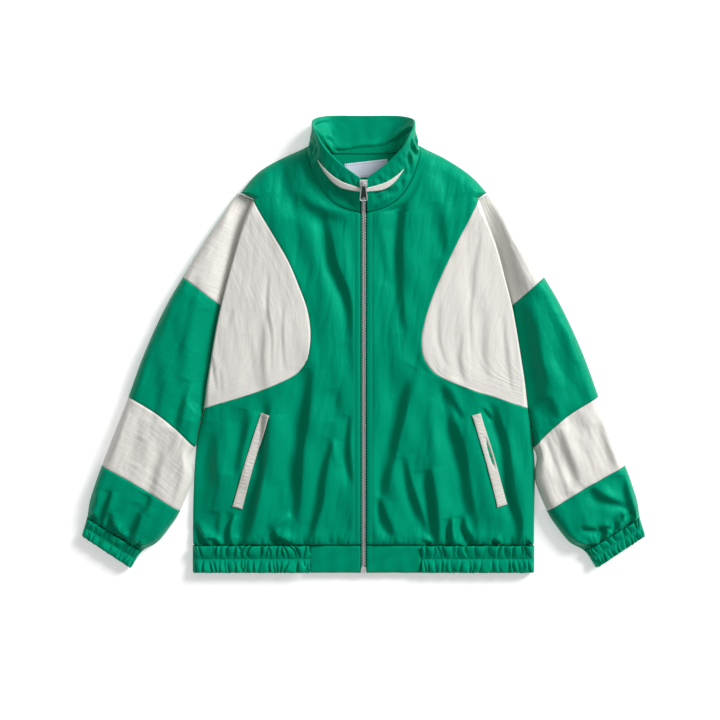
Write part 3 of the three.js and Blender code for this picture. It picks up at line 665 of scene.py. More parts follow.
@dataclass(frozen=True)
class ClothFinish:
    """A woven or knitted cloth.

    color and shade are its two near tones, rib the distance of its yarns, crinkle the size of its small
    wrinkles in metres across and along the cloth, and the depths are in metres too.
    """

    name: str
    color: tuple[float, float, float]
    shade: tuple[float, float, float]
    roughness: float
    sheen: float
    rib: float = 0.0009
    rib_depth: float = 0.00003
    crinkle: tuple[float, float] = (0.006, 0.03)
    crinkle_depth: float = 0.0003
    specular: float = 0.3

    def build(self) -> bpy.types.Material:
        """Makes the cloth's material.

        Returns:
            The material, whose pattern follows the cloth's own map.
        """
        material, nodes = ShaderStart(self.name).open()
        flat = nodes.add("ShaderNodeUVMap", {"uv_map": "cloth"}, {}).outputs["UV"]
        parts = nodes.add("ShaderNodeSeparateXYZ", {}, {"Vector": flat})
        across, along = Sock(nodes, parts.outputs["X"]), Sock(nodes, parts.outputs["Y"])
        tone = self.noise(nodes, flat, (0.05, 0.09), 3)
        crinkle = abs(self.noise(nodes, flat, self.crinkle, 3) - 0.5)
        coarse = abs(self.noise(nodes, flat, tuple(3.1 * size for size in self.crinkle), 2) - 0.5)
        turns = 2 * math.pi / self.rib
        yarn = (across * turns).sine() * 0.5 + (along * turns).sine() * 0.5
        folded = nodes.add(
            "ShaderNodeBump",
            {},
            {"Strength": 0.7, "Distance": self.crinkle_depth, "Height": crinkle * 2 + coarse * 3},
        )
        woven = nodes.add(
            "ShaderNodeBump",
            {},
            {
                "Strength": 0.5,
                "Distance": self.rib_depth,
                "Height": yarn,
                "Normal": folded.outputs["Normal"],
            },
        )
        colour = nodes.add(
            "ShaderNodeMix",
            {"data_type": "RGBA"},
            {"Factor": tone, 6: (*self.color, 1), 7: (*self.shade, 1)},
        )
        rough = tone * 0.12 + (self.roughness - 0.06)
        surface = nodes.add(
            "ShaderNodeBsdfPrincipled",
            {},
            {
                "Base Color": colour.outputs[2],
                "Roughness": rough,
                "Specular IOR Level": self.specular,
                "Sheen Weight": self.sheen,
                "Sheen Roughness": 0.45,
                "Specular Tint": (*self.glow(), 1),
                "Sheen Tint": (*self.glow(), 1),
                "Normal": woven.outputs["Normal"],
            },
        )
        nodes.add("ShaderNodeOutputMaterial", {}, {"Surface": surface.outputs[0]})
        return material

    def glow(self) -> tuple[float, ...]:
        """The cloth's own colour at full strength, which tints its soft gloss."""
        return tuple(channel / max(self.color) for channel in self.color)

    def noise(
        self, nodes: Nodes, flat: bpy.types.NodeSocket, size: tuple[float, float], detail: float
    ) -> Sock:
        """Uneven tone over the cloth.

        Args:
            nodes: the material's nodes.
            flat: the cloth's map.
            size: its grain across and along the cloth, in metres.
            detail: how many finer layers it has.

        Returns:
            A number from 0 to 1.
        """
        placed = nodes.add(
            "ShaderNodeMapping", {}, {"Vector": flat, "Scale": (1 / size[0], 1 / size[1], 1)}
        )
        return nodes.sock(
            "ShaderNodeTexNoise",
            0,
            {"noise_dimensions": "2D"},
            {"Vector": placed.outputs[0], "Scale": 1.0, "Detail": detail, "Roughness": 0.55},
        )


@dataclass(frozen=True)
class HardFinish:
    """Metal, thread or the pull's dark plate: one tone with faint unevenness on the object's own place."""

    name: str
    color: tuple[float, float, float]
    roughness: float
    metallic: float = 0.0
    grain: float = 900.0
    depth: float = 0.00002
    specular: float = 0.5

    def build(self) -> bpy.types.Material:
        """Makes the material.

        Returns:
            The material, whose grain follows the object's own place.
        """
        material, nodes = ShaderStart(self.name).open()
        place = nodes.add("ShaderNodeTexCoord", {}, {}).outputs["Object"]
        grain = nodes.sock(
            "ShaderNodeTexNoise", 0, {}, {"Vector": place, "Scale": self.grain, "Detail": 2.0}
        )
        patch = nodes.sock(
            "ShaderNodeTexNoise", 0, {}, {"Vector": place, "Scale": self.grain / 6, "Detail": 2.0}
        )
        bump = nodes.add(
            "ShaderNodeBump", {}, {"Strength": 0.4, "Distance": self.depth, "Height": grain}
        )
        worn = tuple(0.86 * channel for channel in self.color)
        colour = nodes.add(
            "ShaderNodeMix", {"data_type": "RGBA"}, {"Factor": patch, 6: (*self.color, 1), 7: (*worn, 1)}
        )
        surface = nodes.add(
            "ShaderNodeBsdfPrincipled",
            {},
            {
                "Base Color": colour.outputs[2],
                "Roughness": patch * 0.2 + (self.roughness - 0.1),
                "Metallic": self.metallic,
                "Specular IOR Level": self.specular,
                "Normal": bump.outputs["Normal"],
            },
        )
        nodes.add("ShaderNodeOutputMaterial", {}, {"Surface": surface.outputs[0]})
        return material


@dataclass
class Finishes:
    """Every finish of the jacket, made once."""

    green: bpy.types.Material = field(init=False)
    knit: bpy.types.Material = field(init=False)
    cream: bpy.types.Material = field(init=False)
    welt: bpy.types.Material = field(init=False)
    label: bpy.types.Material = field(init=False)
    tape: bpy.types.Material = field(init=False)
    green_thread: bpy.types.Material = field(init=False)
    label_thread: bpy.types.Material = field(init=False)
    cream_thread: bpy.types.Material = field(init=False)
    steel: bpy.types.Material = field(init=False)
    inlay: bpy.types.Material = field(init=False)

    def __post_init__(self) -> None:
        """Builds the materials."""
        green, dark = (0.0, 0.274, 0.15), (0.0, 0.24, 0.13)
        self.green = ClothFinish("green_polyester", green, dark, 0.47, 0.04, specular=0.36).build()
        self.knit = ClothFinish(
            "green_gathered", green, dark, 0.55, 0.2, crinkle=(0.004, 0.012), crinkle_depth=0.0004
        ).build()
        self.cream = ClothFinish(
            "cream_nylon",
            (0.75, 0.733, 0.69),
            (0.715, 0.697, 0.652),
            0.5,
            0.1,
            rib=0.0007,
            crinkle=(0.006, 0.05),
            crinkle_depth=0.00045,
        ).build()
        # The welts' cream, made darker than the chest panel's cream by painted shade that tones down the light
        # on their tilted faces.
        self.welt = ClothFinish(
            "cream_welt",
            (0.6, 0.585, 0.54),
            (0.55, 0.535, 0.49),
            0.55,
            0.1,
            rib=0.0007,
            crinkle=(0.012, 0.004),
            crinkle_depth=0.0005,
        ).build()
        self.label = ClothFinish(
            "woven_label",
            (0.74, 0.76, 0.9),
            (0.7, 0.72, 0.86),
            0.45,
            0.15,
            rib=0.0005,
            crinkle=(0.01, 0.02),
            crinkle_depth=0.0001,
        ).build()
        self.tape = ClothFinish(
            "zip_tape_weave", (0.001, 0.04, 0.028), (0.001, 0.03, 0.02), 0.7, 0.1, rib=0.0011, rib_depth=0.0001
        ).build()
        self.green_thread = HardFinish(
            "green_thread", (0.02, 0.3, 0.19), 0.6, grain=2500, specular=0.1
        ).build()
        self.label_thread = HardFinish(
            "label_thread", (0.2, 0.24, 0.42), 0.6, grain=2500, specular=0.2
        ).build()
        self.cream_thread = HardFinish("cream_thread", (0.74, 0.7, 0.63), 0.5, grain=2500).build()
        self.steel = HardFinish("zip_steel", (0.86, 0.86, 0.86), 0.4, 0.8).build()
        # A near-black green plate fills the middle of the pull.
        self.inlay = HardFinish("pull_inlay", (0.012, 0.03, 0.024), 0.4).build()


class Repeater:
    """A Geometry Nodes tree that sets one small shape again and again along a path."""

    def __init__(self, name: str, shape: bpy.types.Object, alternate: bool) -> None:
        """Builds the tree.

        Args:
            name: the tree's name.
            shape: the small shape, which runs along y.
            alternate: whether every other one is turned round.
        """
        self.tree = bpy.data.node_groups.new(name, "GeometryNodeTree")
        for label, kind, way in (
            ("Path", "NodeSocketGeometry", "INPUT"),
            ("Pitch", "NodeSocketFloat", "INPUT"),
            ("Unevenness", "NodeSocketFloat", "INPUT"),
            ("Finish", "NodeSocketMaterial", "INPUT"),
            ("Geometry", "NodeSocketGeometry", "OUTPUT"),
        ):
            self.tree.interface.new_socket(label, in_out=way, socket_type=kind)
        nodes = Nodes(self.tree)
        sizes = nodes.add("NodeGroupInput", {}, {}).outputs
        curve = nodes.add("GeometryNodeMeshToCurve", {}, {"Mesh": sizes["Path"]})
        spots = nodes.add(
            "GeometryNodeCurveToPoints",
            {"mode": "LENGTH"},
            {"Curve": curve.outputs[0], "Length": sizes["Pitch"]},
        )
        number = nodes.add("GeometryNodeInputIndex", {}, {})
        aligned = nodes.add(
            "FunctionNodeAlignRotationToVector", {"axis": "Y"}, {"Vector": spots.outputs["Tangent"]}
        )
        odd = nodes.sock("ShaderNodeMath", 0, {"operation": "MODULO"}, {0: number.outputs[0], 1: 2.0})
        half_turn = odd * (math.pi if alternate else 0.0)
        wobble = nodes.add(
            "FunctionNodeRandomValue",
            {"data_type": "FLOAT"},
            {"Min": -1.0, "Max": 1.0, "ID": number.outputs[0], "Seed": 7},
        )
        swing = Sock(nodes, wobble.outputs[1]) * Sock(nodes, sizes["Unevenness"])
        turned = nodes.add("ShaderNodeCombineXYZ", {}, {"Y": half_turn, "Z": swing})
        turn = nodes.add(
            "FunctionNodeRotateRotation",
            {"rotation_space": "LOCAL"},
            {0: aligned.outputs[0], 1: turned.outputs[0]},
        )
        source = nodes.add("GeometryNodeObjectInfo", {}, {"Object": shape})
        placed = nodes.add(
            "GeometryNodeInstanceOnPoints",
            {},
            {
                "Points": spots.outputs["Points"],
                "Instance": source.outputs["Geometry"],
                "Rotation": turn.outputs[0],
            },
        )
        real = nodes.add("GeometryNodeRealizeInstances", {}, {"Geometry": placed.outputs[0]})
        done = nodes.add(
            "GeometryNodeSetMaterial", {}, {"Geometry": real.outputs[0], "Material": sizes["Finish"]}
        )
        nodes.add("NodeGroupOutput", {}, {0: done.outputs[0]})

    def along(
        self,
        name: str,
        paths: Sequence[Array],
        pitch: float,
        finish: bpy.types.Material,
        unevenness: float = 0.0,
    ) -> bpy.types.Object:
        """Sets the shape along paths.

        Args:
            name: the new piece's name.
            paths: each path's points in millimetres.
            pitch: the distance from one to the next in millimetres.
            finish: the material.
            unevenness: how far one may swing aside, in radians.

        Returns:
            The piece as a plain mesh.
        """
        places, lines, count = [], [], 0
        for path in paths:
            places.append(path)
            lines += [(count + i, count + i + 1) for i in range(len(path) - 1)]
            count += len(path)
        mesh = bpy.data.meshes.new(f"{name}_path")
        mesh.from_pydata(((np.concatenate(places) + [0, FRAME_SHIFT_Y, 0]) * MM).tolist(), lines, [])
        carrier = bpy.data.objects.new(f"{name}_path", mesh)
        bpy.context.collection.objects.link(carrier)
        modifier = carrier.modifiers.new("repeat", "NODES")
        modifier.node_group = self.tree
        sizes = {"Pitch": pitch * MM, "Unevenness": unevenness, "Finish": finish}
        for item in self.tree.interface.items_tree:
            if item.in_out == "INPUT" and item.name in sizes:
                modifier[item.identifier] = sizes[item.name]
        graph = bpy.context.evaluated_depsgraph_get()
        made = bpy.data.meshes.new_from_object(carrier.evaluated_get(graph), depsgraph=graph)
        carrier.modifiers.clear()
        bpy.data.objects.remove(carrier)
        made.name = name
        made.shade_smooth()
        piece = bpy.data.objects.new(name, made)
        bpy.context.collection.objects.link(piece)
        return piece


def lump(name: str, width: float, length: float, height: float) -> bpy.types.Object:
    """A small rounded bar along y, such as one stitch.

    Args:
        name: its name.
        width: its size along x.
        length: its size along y.
        height: its size along z.

    Returns:
        A hidden object that a tree can repeat.
    """
    sides, rings = 6, ((-0.5, 0.25), (-0.36, 0.85), (0.36, 0.85), (0.5, 0.25))
    places = [
        (
            width / 2 * fat * math.cos(2 * math.pi * k / sides),
            length * at,
            height / 2 * fat * math.sin(2 * math.pi * k / sides),
        )
        for at, fat in rings
        for k in range(sides)
    ]
    faces: list[list[int]] = [list(range(sides)), [3 * sides + k for k in reversed(range(sides))]]
    for ring in range(3):
        for k in range(sides):
            a, b = ring * sides + k, ring * sides + (k + 1) % sides
            faces.append([b, a, a + sides, b + sides])
    return hidden_shape(name, places, faces)


def hidden_shape(name: str, places: Sequence[Sequence[float]], faces: list[list[int]]) -> bpy.types.Object:
    """A small shape in millimetres, in no collection, that only a tree shows."""
    mesh = bpy.data.meshes.new(name)
    mesh.from_pydata([tuple(MM * value for value in place) for place in places], [], faces)
    mesh.update()
    return bpy.data.objects.new(name, mesh)


@dataclass
class Workroom:
    """Where the pieces are finished: it rides each on its body in place of the nodes that it replaces, and keeps
    the rows of stitches.
    """

    finishes: Finishes
    green_rows: list[Array] = field(default_factory=list)
    cream_rows: list[Array] = field(default_factory=list)
    label_rows: list[Array] = field(default_factory=list)
    triangles: int = 0

    def place(self, piece: bpy.types.Object, slot: str, nodes: Sequence[str], body: str = BODY) -> None:
        """Rides a piece on its body and hides the nodes that it stands for.

        Args:
            piece: the finished piece.
            slot: not used.
            nodes: the CAD nodes that it replaces.
            body: the CAD body that it rides on.
        """
        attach(piece, body)
        if nodes:
            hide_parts(*nodes)
        count = sum(len(face.vertices) - 2 for face in piece.data.polygons)
        self.triangles += count
        log.info("%s: %d triangles", piece.name, count)

    def sew(
        self,
        panel: Panel,
        slot: str,
        material: bpy.types.Material,
        cut: Cut,
        rests_on: Sequence[str],
        thick: float = SHELL,
        held: str = "laid",
    ) -> bpy.types.Object:
        """Makes one cloth piece of the jacket.

        Args:
            panel: its outer face.
            slot: not used.
            material: its finish.
            cut: not used.
            rests_on: not used.
            thick: its thickness.
            held: not used.

        Returns:
            The piece, in place of its node.
        """
        piece = panel.mesh(thick, material)
        node = panel.name.removesuffix("_cloth")
        self.place(piece, slot, [node])
        outer = panel.points
        sides = [np.linalg.norm(np.diff(outer, axis=axis), axis=2).sum(axis=axis).max() for axis in (0, 1)]
        face = np.cross(outer[1:, :-1] - outer[:-1, :-1], outer[:-1, 1:] - outer[:-1, :-1])
        area = np.linalg.norm(face, axis=2).sum() / 1e6
        log.info("%s: %.3f x %.3f m, %.4f m2", panel.name, sides[0] * MM, sides[1] * MM, area)
        return piece

    def stitch(self) -> None:
        """Makes every row of stitches, in the thread of its cloth."""
        repeater = Repeater("stitches", lump("stitch", 0.75, 2.7, 0.6), alternate=False)
        for name, rows, thread, slot in (
            ("stitching_green", self.green_rows, self.finishes.green_thread, "green_cloth"),
            ("stitching_cream", self.cream_rows, self.finishes.cream_thread, "pale_cloth"),
            ("stitching_label", self.label_rows, self.finishes.label_thread, "label_cloth"),
        ):
            piece = repeater.along(name, rows, 3.5, thread, 0.06)
            self.place(piece, slot, [])


# Creases of the fronts and chest, on the wearer's right (x below 0) and left
RIGHT_FRONT_CREASES = (
    Crease(((-74, 222), (-66, 177), (-58, 140), (-48, 112), (-37, 88), (-28, 55), (-22, 5)), 10, -5.4, 0.5),
    Crease(((-98, -40), (-105, -109), (-112, -150), (-117, -202), (-119, -253), (-121, -306)), 11, -6.6, 0.5),
    Crease(((-58, -160), (-68, -194), (-75, -227), (-78, -264), (-88, -297), (-102, -343)), 8, -5.0, 0.6),
    Crease(((-52, -76), (-50, -104), (-49, -130)), 12, -2.2, 0.4),
    Crease(((-26, -120), (-30, -165), (-28, -202), (-20, -240)), 7, -4.0, 0.5),
    Crease(((-171, -86), (-174, -150), (-179, -202), (-188, -253), (-197, -284), (-218, -348)), 10, -5.6, 0.5),
    Crease(((-203, -110), (-214, -165), (-224, -222)), 11, -4.6, 0.5),
    Crease(((-225, -288), (-233, -307), (-235, -325), (-233, -348)), 6, -6.2, 0.6),
    Crease(((-249, -285), (-254, -309), (-250, -332)), 9, -3.4, 0.4),
    Crease(((-290, -308), (-281, -325), (-270, -346)), 6, -5.0, 0.5),
    Crease(((-268, -336), (-256, -335), (-246, -348)), 4, -3.4, 0.4),
    Crease(((-158, -320), (-152, -332), (-138, -338), (-124, -346)), 6, -6.0, 0.6),
    Crease(((-156, -316), (-144, -302), (-122, -292)), 7, 3.4),
    Crease(((-54, -160), (-48, -185), (-41, -210)), 6, 1.8),
    Crease(((-140, 300), (-132, 262), (-118, 215)), 12, -2.6, 0.4),
    Crease(((-262, -150), (-264, -200), (-258, -250)), 12, -2.4, 0.4),
    Crease(((-150, -120), (-146, -180), (-150, -240)), 15, 2.2),
    Crease(((-272, -130), (-278, -220), (-284, -320)), 26, -5.0, 0.4),
    Crease(((-190, -230), (-196, -270), (-206, -330)), 13, -3.6, 0.5),
    Crease(((-118, 250), (-96, 226), (-66, 212), (-30, 204)), 12, -3.4, 0.5),
)
LEFT_FRONT_CREASES = (
    Crease(((92, 300), (76, 268), (62, 238), (54, 190), (53, 130), (54, 80), (62, 20)), 11, -4.8, 0.5),
    Crease(((24, 190), (28, 150), (36, 100)), 10, -2.4, 0.4),
    Crease(((122, 240), (124, 195), (132, 148)), 11, -2.6, 0.4),
    Crease(((86, -38), (63, -88), (54, -130), (44, -167), (36, -206), (29, -239), (26, -262)), 12, -7.0, 0.5),
    Crease(
        ((129, -58), (140, -130), (154, -171), (163, -212), (169, -253), (178, -300), (186, -348)),
        12,
        -6.6,
        0.5,
    ),
    Crease(((133, -74), (146, -97), (165, -130)), 8, -3.8, 0.4),
    Crease(((62, -190), (74, -243), (85, -274), (95, -301), (104, -326)), 8, -5.0, 0.5),
    Crease(((104, -212), (109, -243), (113, -274), (116, -305), (118, -350)), 9, -8.0, 0.6),
    Crease(((145, -296), (144, -315), (146, -348)), 5, -6.4, 0.6),
    Crease(((164, -292), (167, -315), (178, -334), (186, -350)), 7, -6.4, 0.5),
    Crease(((218, -334), (226, -340), (234, -349)), 4, -4.4, 0.5),
    Crease(
        ((214, -102), (223, -130), (235, -165), (241, -202), (245, -243), (252, -274), (260, -305), (256, -348)),
        8,
        -5.6,
        0.5,
    ),
    Crease(((19, -262), (33, -300), (47, -330)), 8, -4.4, 0.5),
    Crease(((102, -336), (112, -342), (120, -349)), 4, -3.8, 0.5),
    Crease(((278, -334), (282, -342), (288, -350)), 4, -3.4, 0.4),
    Crease(((201, -110), (209, -119), (217, -130)), 4, -2.4, 0.5),
    Crease(((111, -90), (122, -190), (138, -290)), 12, 2.6),
    Crease(((200, -180), (206, -240), (214, -300)), 12, 2.0),
)
RIGHT_CHEST_CREASES = (
    Crease(((-162, 122), (-165, 58), (-158, 18), (-157, -60)), 3.5, -1.6, 0.5),
    Crease(((-138, 65), (-140, 19), (-135, -46)), 3.5, -1.3, 0.5),
    Crease(((-172, 60), (-175, 10), (-178, -30), (-172, -84)), 9, -2.8, 0.4),
    Crease(((-199, 18), (-190, -46), (-184, -84)), 9, -2.0, 0.4),
    Crease(((-225, 58), (-232, 30)), 5, -1.2, 0.4),
    Crease(((-259, -20), (-255, -50), (-250, -82)), 3.5, -1.6, 0.5),
    Crease(((-246, -40), (-242, -86)), 4, -1.2, 0.5),
    Crease(((-150, 60), (-149, 10), (-148, -50)), 4, -0.9, 0.5),
)
LEFT_CHEST_CREASES = (
    Crease(((196, 190), (186, 140), (180, 80)), 7, -1.4, 0.5),
    Crease(((206, 60), (200, 0), (206, -60)), 8, -2.0, 0.4),
    Crease(((128, 70), (126, 10), (140, -40)), 4, -1.2, 0.5),
    Crease(((164, 20), (160, -30), (170, -70)), 6, -1.8, 0.5),
    Crease(((236, 50), (240, -10), (250, -80)), 5, -1.6, 0.4),
    Crease(((184, 100), (180, 40), (184, -20)), 3.5, -1.0, 0.5),
)
BODY_RIPPLES = (
    Ripple(70, 2.6, 98, 1.2, 11),
    Ripple(26, 3.5, 84, 0.4, 12, 0.4),
)


@dataclass
class Body:
    """The fronts, the chest panels and the back."""

    room: Workroom
    strip_width: float = 9.5
    gather_size: float = 14.0
    gather_height: float = 1.7
    gather_reach: float = 26.0
    fullness: float = 1.6
    blouse: float = 2.4
    blouse_at: float = 13.0
    front_cut: Cut = Cut(0.29, 0.685, 0.127)
    chest_cut: Cut = Cut(0.18, 0.36, 0.041)
    back_cut: Cut = Cut(0.585, 0.675, 0.338)

    def relief(self, side: Side, x: Array, y: Array) -> Array:
        """Height of the creases and gathers over one half of the front.

        Args:
            side: the wearer's right or left.
            x: the points' x.
            y: the points' y.

        Returns:
            The height at each point.
        """
        green = side.pick(RIGHT_FRONT_CREASES, LEFT_FRONT_CREASES)
        pale = side.pick(RIGHT_CHEST_CREASES, LEFT_CHEST_CREASES)
        height = self.fullness * sum(crease.height(x, y) for crease in green)
        height = height + sum(crease.height(x, y) for crease in pale)
        smoother = 1 - 0.8 * smooth(np.abs(x) - SHAPE.chest(side, y), -12, 12)
        height = height + smoother * sum(ripple.at(x, y) for ripple in BODY_RIPPLES)
        gathers = Ripple(self.gather_size, 5.0, 90.0, self.gather_height, 21, 0.5).at(x, y)
        height = height + gathers * (1 - smooth(y - BAND_TOP_Y, 0, self.gather_reach))
        return height + self.blouse * np.exp(-(((y - BAND_TOP_Y) / self.blouse_at - 1) ** 2))

    def chest_gap(self, y: Array) -> Array:
        """Half the gap between a front and its chest panel."""
        return SEAM * blend(0.6, 1.2, smooth(y, 215, 235)) * 0.5

    def front(self, side: Side) -> None:
        """One green front, from the zip and the neck to the chest panel and the side.

        Args:
            side: the wearer's right or left.
        """
        heights = np.unique(
            np.concatenate(
                [
                    BAND_TOP_Y + SEAM / 2 + 233.1 * graded(233.1, 0.9, 3.0, 12),
                    UNDERARM_Y + 359 * graded(359, 1.2, 3.0),
                    ARMHOLE_TOP_Y + 9 * np.linspace(0, 1, 6),
                    SHOULDER_TIP_Y + 81 * graded(81, 1.0, 2.6),
                ]
            ).round(3)
        )
        share = graded(230, 0.9, 2.1, 16)
        u, y = np.meshgrid(share, heights, indexing="ij")
        start = np.where(y < COLLAR_NECK[0][1], ZIP_OPENING, SHAPE.neck_x(y) + SEAM)
        beside_chest = (y > UNDERARM_Y) & (y < ARMHOLE_TOP_Y)
        end = np.where(beside_chest, SHAPE.chest(side, y), SHAPE.edge(side, y)) - self.chest_gap(y)
        x = side.value * blend(start, end, u)
        z = SHAPE.front_z(side, x, y, self.relief(side, x, y))
        panel = Panel(f"front_{side.label}_cloth", np.stack([x, y, z], -1), side.value)
        strip = np.exp(-(((np.abs(x) - ZIP_OPENING - self.strip_width) / 1.3) ** 2))
        strip = strip * (y < COLLAR_NECK[0][1] + 1)
        panel = panel.raised(-0.7 * strip).sewn([Rim.U_START, Rim.U_END], 0.8, 1.8)
        panel = panel.sewn([Rim.V_START], 1.4, 2.4).sewn([Rim.V_END], 0.5, 1.6)
        self.room.sew(
            panel, "green_cloth", self.room.finishes.green, self.front_cut, ["back", "zip_chain"]
        )
        beside_zip = panel.line_beside(Rim.U_START, self.strip_width - 0.1)
        self.room.green_rows.append(beside_zip[beside_zip[:, 1] < COLLAR_NECK[0][1] - 4])

    def chest_panel(self, side: Side) -> None:
        """One pale chest panel, from its curved edge to the armhole.

        Args:
            side: the wearer's right or left.
        """
        span = CHEST_TOP_Y - CHEST_LOW_Y
        v = graded(span, 1.2, 2.8, 10)
        u, y = np.meshgrid(graded(165, 0.9, 2.7), CHEST_LOW_Y + span * v, indexing="ij")
        start = SHAPE.chest(side, y) + self.chest_gap(y)
        x = side.value * blend(start, SHAPE.edge(side, y) - SEAM / 2, u)
        z = SHAPE.front_z(side, x, y, self.relief(side, x, y))
        panel = Panel(f"chest_panel_{side.label}_cloth", np.stack([x, y, z], -1), side.value)
        inside = np.minimum(panel.away(Rim.U_START), panel.away(Rim.U_END))
        crinkle = Ripple(11, 9.0, 88, 0.13, side.pick(31, 32), 0.7).at(x, y)
        crinkle = crinkle + Ripple(38, 3.0, 86, 0.2, side.pick(33, 34), 0.3).at(x, y)
        panel = panel.raised(crinkle * smooth(inside, 1, 14)).sewn([Rim.U_START, Rim.U_END], 0.8, 1.8)
        self.room.sew(
            panel,
            "pale_cloth",
            self.room.finishes.cream,
            self.chest_cut,
            ["back", f"front_{side.label}"],
        )

    def back(self) -> None:
        """The back, flat on the floor and turned up at the side seams and shoulders."""
        across = np.concatenate([-graded(280, 1.4, 5.5)[::-1], graded(280, 1.4, 5.5)[1:]])
        heights = BAND_TOP_Y + SEAM / 2 + (BACK_NECK_Y - BAND_TOP_Y - SEAM / 2) * graded(673, 2, 5.5)
        u, y = np.meshgrid(np.unique(np.sign(across) * (1 - np.abs(across))), heights, indexing="ij")
        panel = Panel("back_cloth", back_face(u, y), -1)
        self.room.sew(
            panel, "green_cloth", self.room.finishes.green, self.back_cut, ["floor"], thick=CLOTH
        )

    def build(self) -> None:
        """Makes all the body's pieces."""
        self.back()
        for side in Side:
            self.front(side)
            self.chest_panel(side)


def back_face(across: Array, y: Array) -> Array:
    """The underside of the back or the back hem.

    Args:
        across: from -1 at the wearer's right edge to 1 at the left.
        y: the places along the body.

    Returns:
        The points.
    """
    edge = np.where(across < 0, SHAPE.edge(Side.RIGHT, y), SHAPE.edge(Side.LEFT, y)) - SEAM / 2
    x = across * edge
    side = 1 - smooth(y, UNDERARM_Y - 24, UNDERARM_Y)
    shoulder = smooth(y, SHOULDER_TIP_Y, SHOULDER_TIP_Y + 14) * (1 - smooth(y, 306, 322))
    seam = (SHAPE.seam_z(y) - SEAM) * np.maximum(side, shoulder)
    return np.stack([x, y, seam * (1 - roll(edge - np.abs(x), BACK_ROLL))], -1)


@dataclass(frozen=True)
class Gather:
    """Uneven gathers along elastic: their mean distance, how far they slant, and how wide a valley is."""

    pitch: float
    slant: float
    narrow: float

    def crest(self, along: Array, held: Array, seed: int) -> Array:
        """How high the cloth puffs between its valleys.

        Args:
            along: where each point is along the elastic.
            held: 0 at the stitches that hold the gathers and 1 at the far edge.
            seed: which uneven set it is.

        Returns:
            From 0 in a valley to about 1 on a crest.
        """
        rng = np.random.default_rng(seed)
        count = int(np.max(along) / self.pitch * 1.3) + 3
        spots = np.cumsum(self.pitch * rng.uniform(0.45, 1.55, count)) - self.pitch
        valley = np.zeros(np.broadcast(along, held).shape)
        for spot in spots:
            slant, bend = rng.normal(0, self.slant), rng.normal(0, self.slant / 2)
            depth, middle = rng.uniform(0.6, 1.15), rng.uniform(0.1, 0.9)
            away = along - spot - slant * held - bend * np.sin(np.pi * held)
            reach = 1 - 0.4 * np.abs(held - middle)
            narrow = self.narrow * np.where(away < 0, 0.55, 1.35)
            valley = np.maximum(valley, depth * reach * np.exp(-np.abs(away / narrow) ** 1.3))
        tall = 0.8 + 0.2 * np.sin(along / self.pitch * 2.1 + seed) * np.cos(held * 3 + seed)
        return tall * (1 - valley)


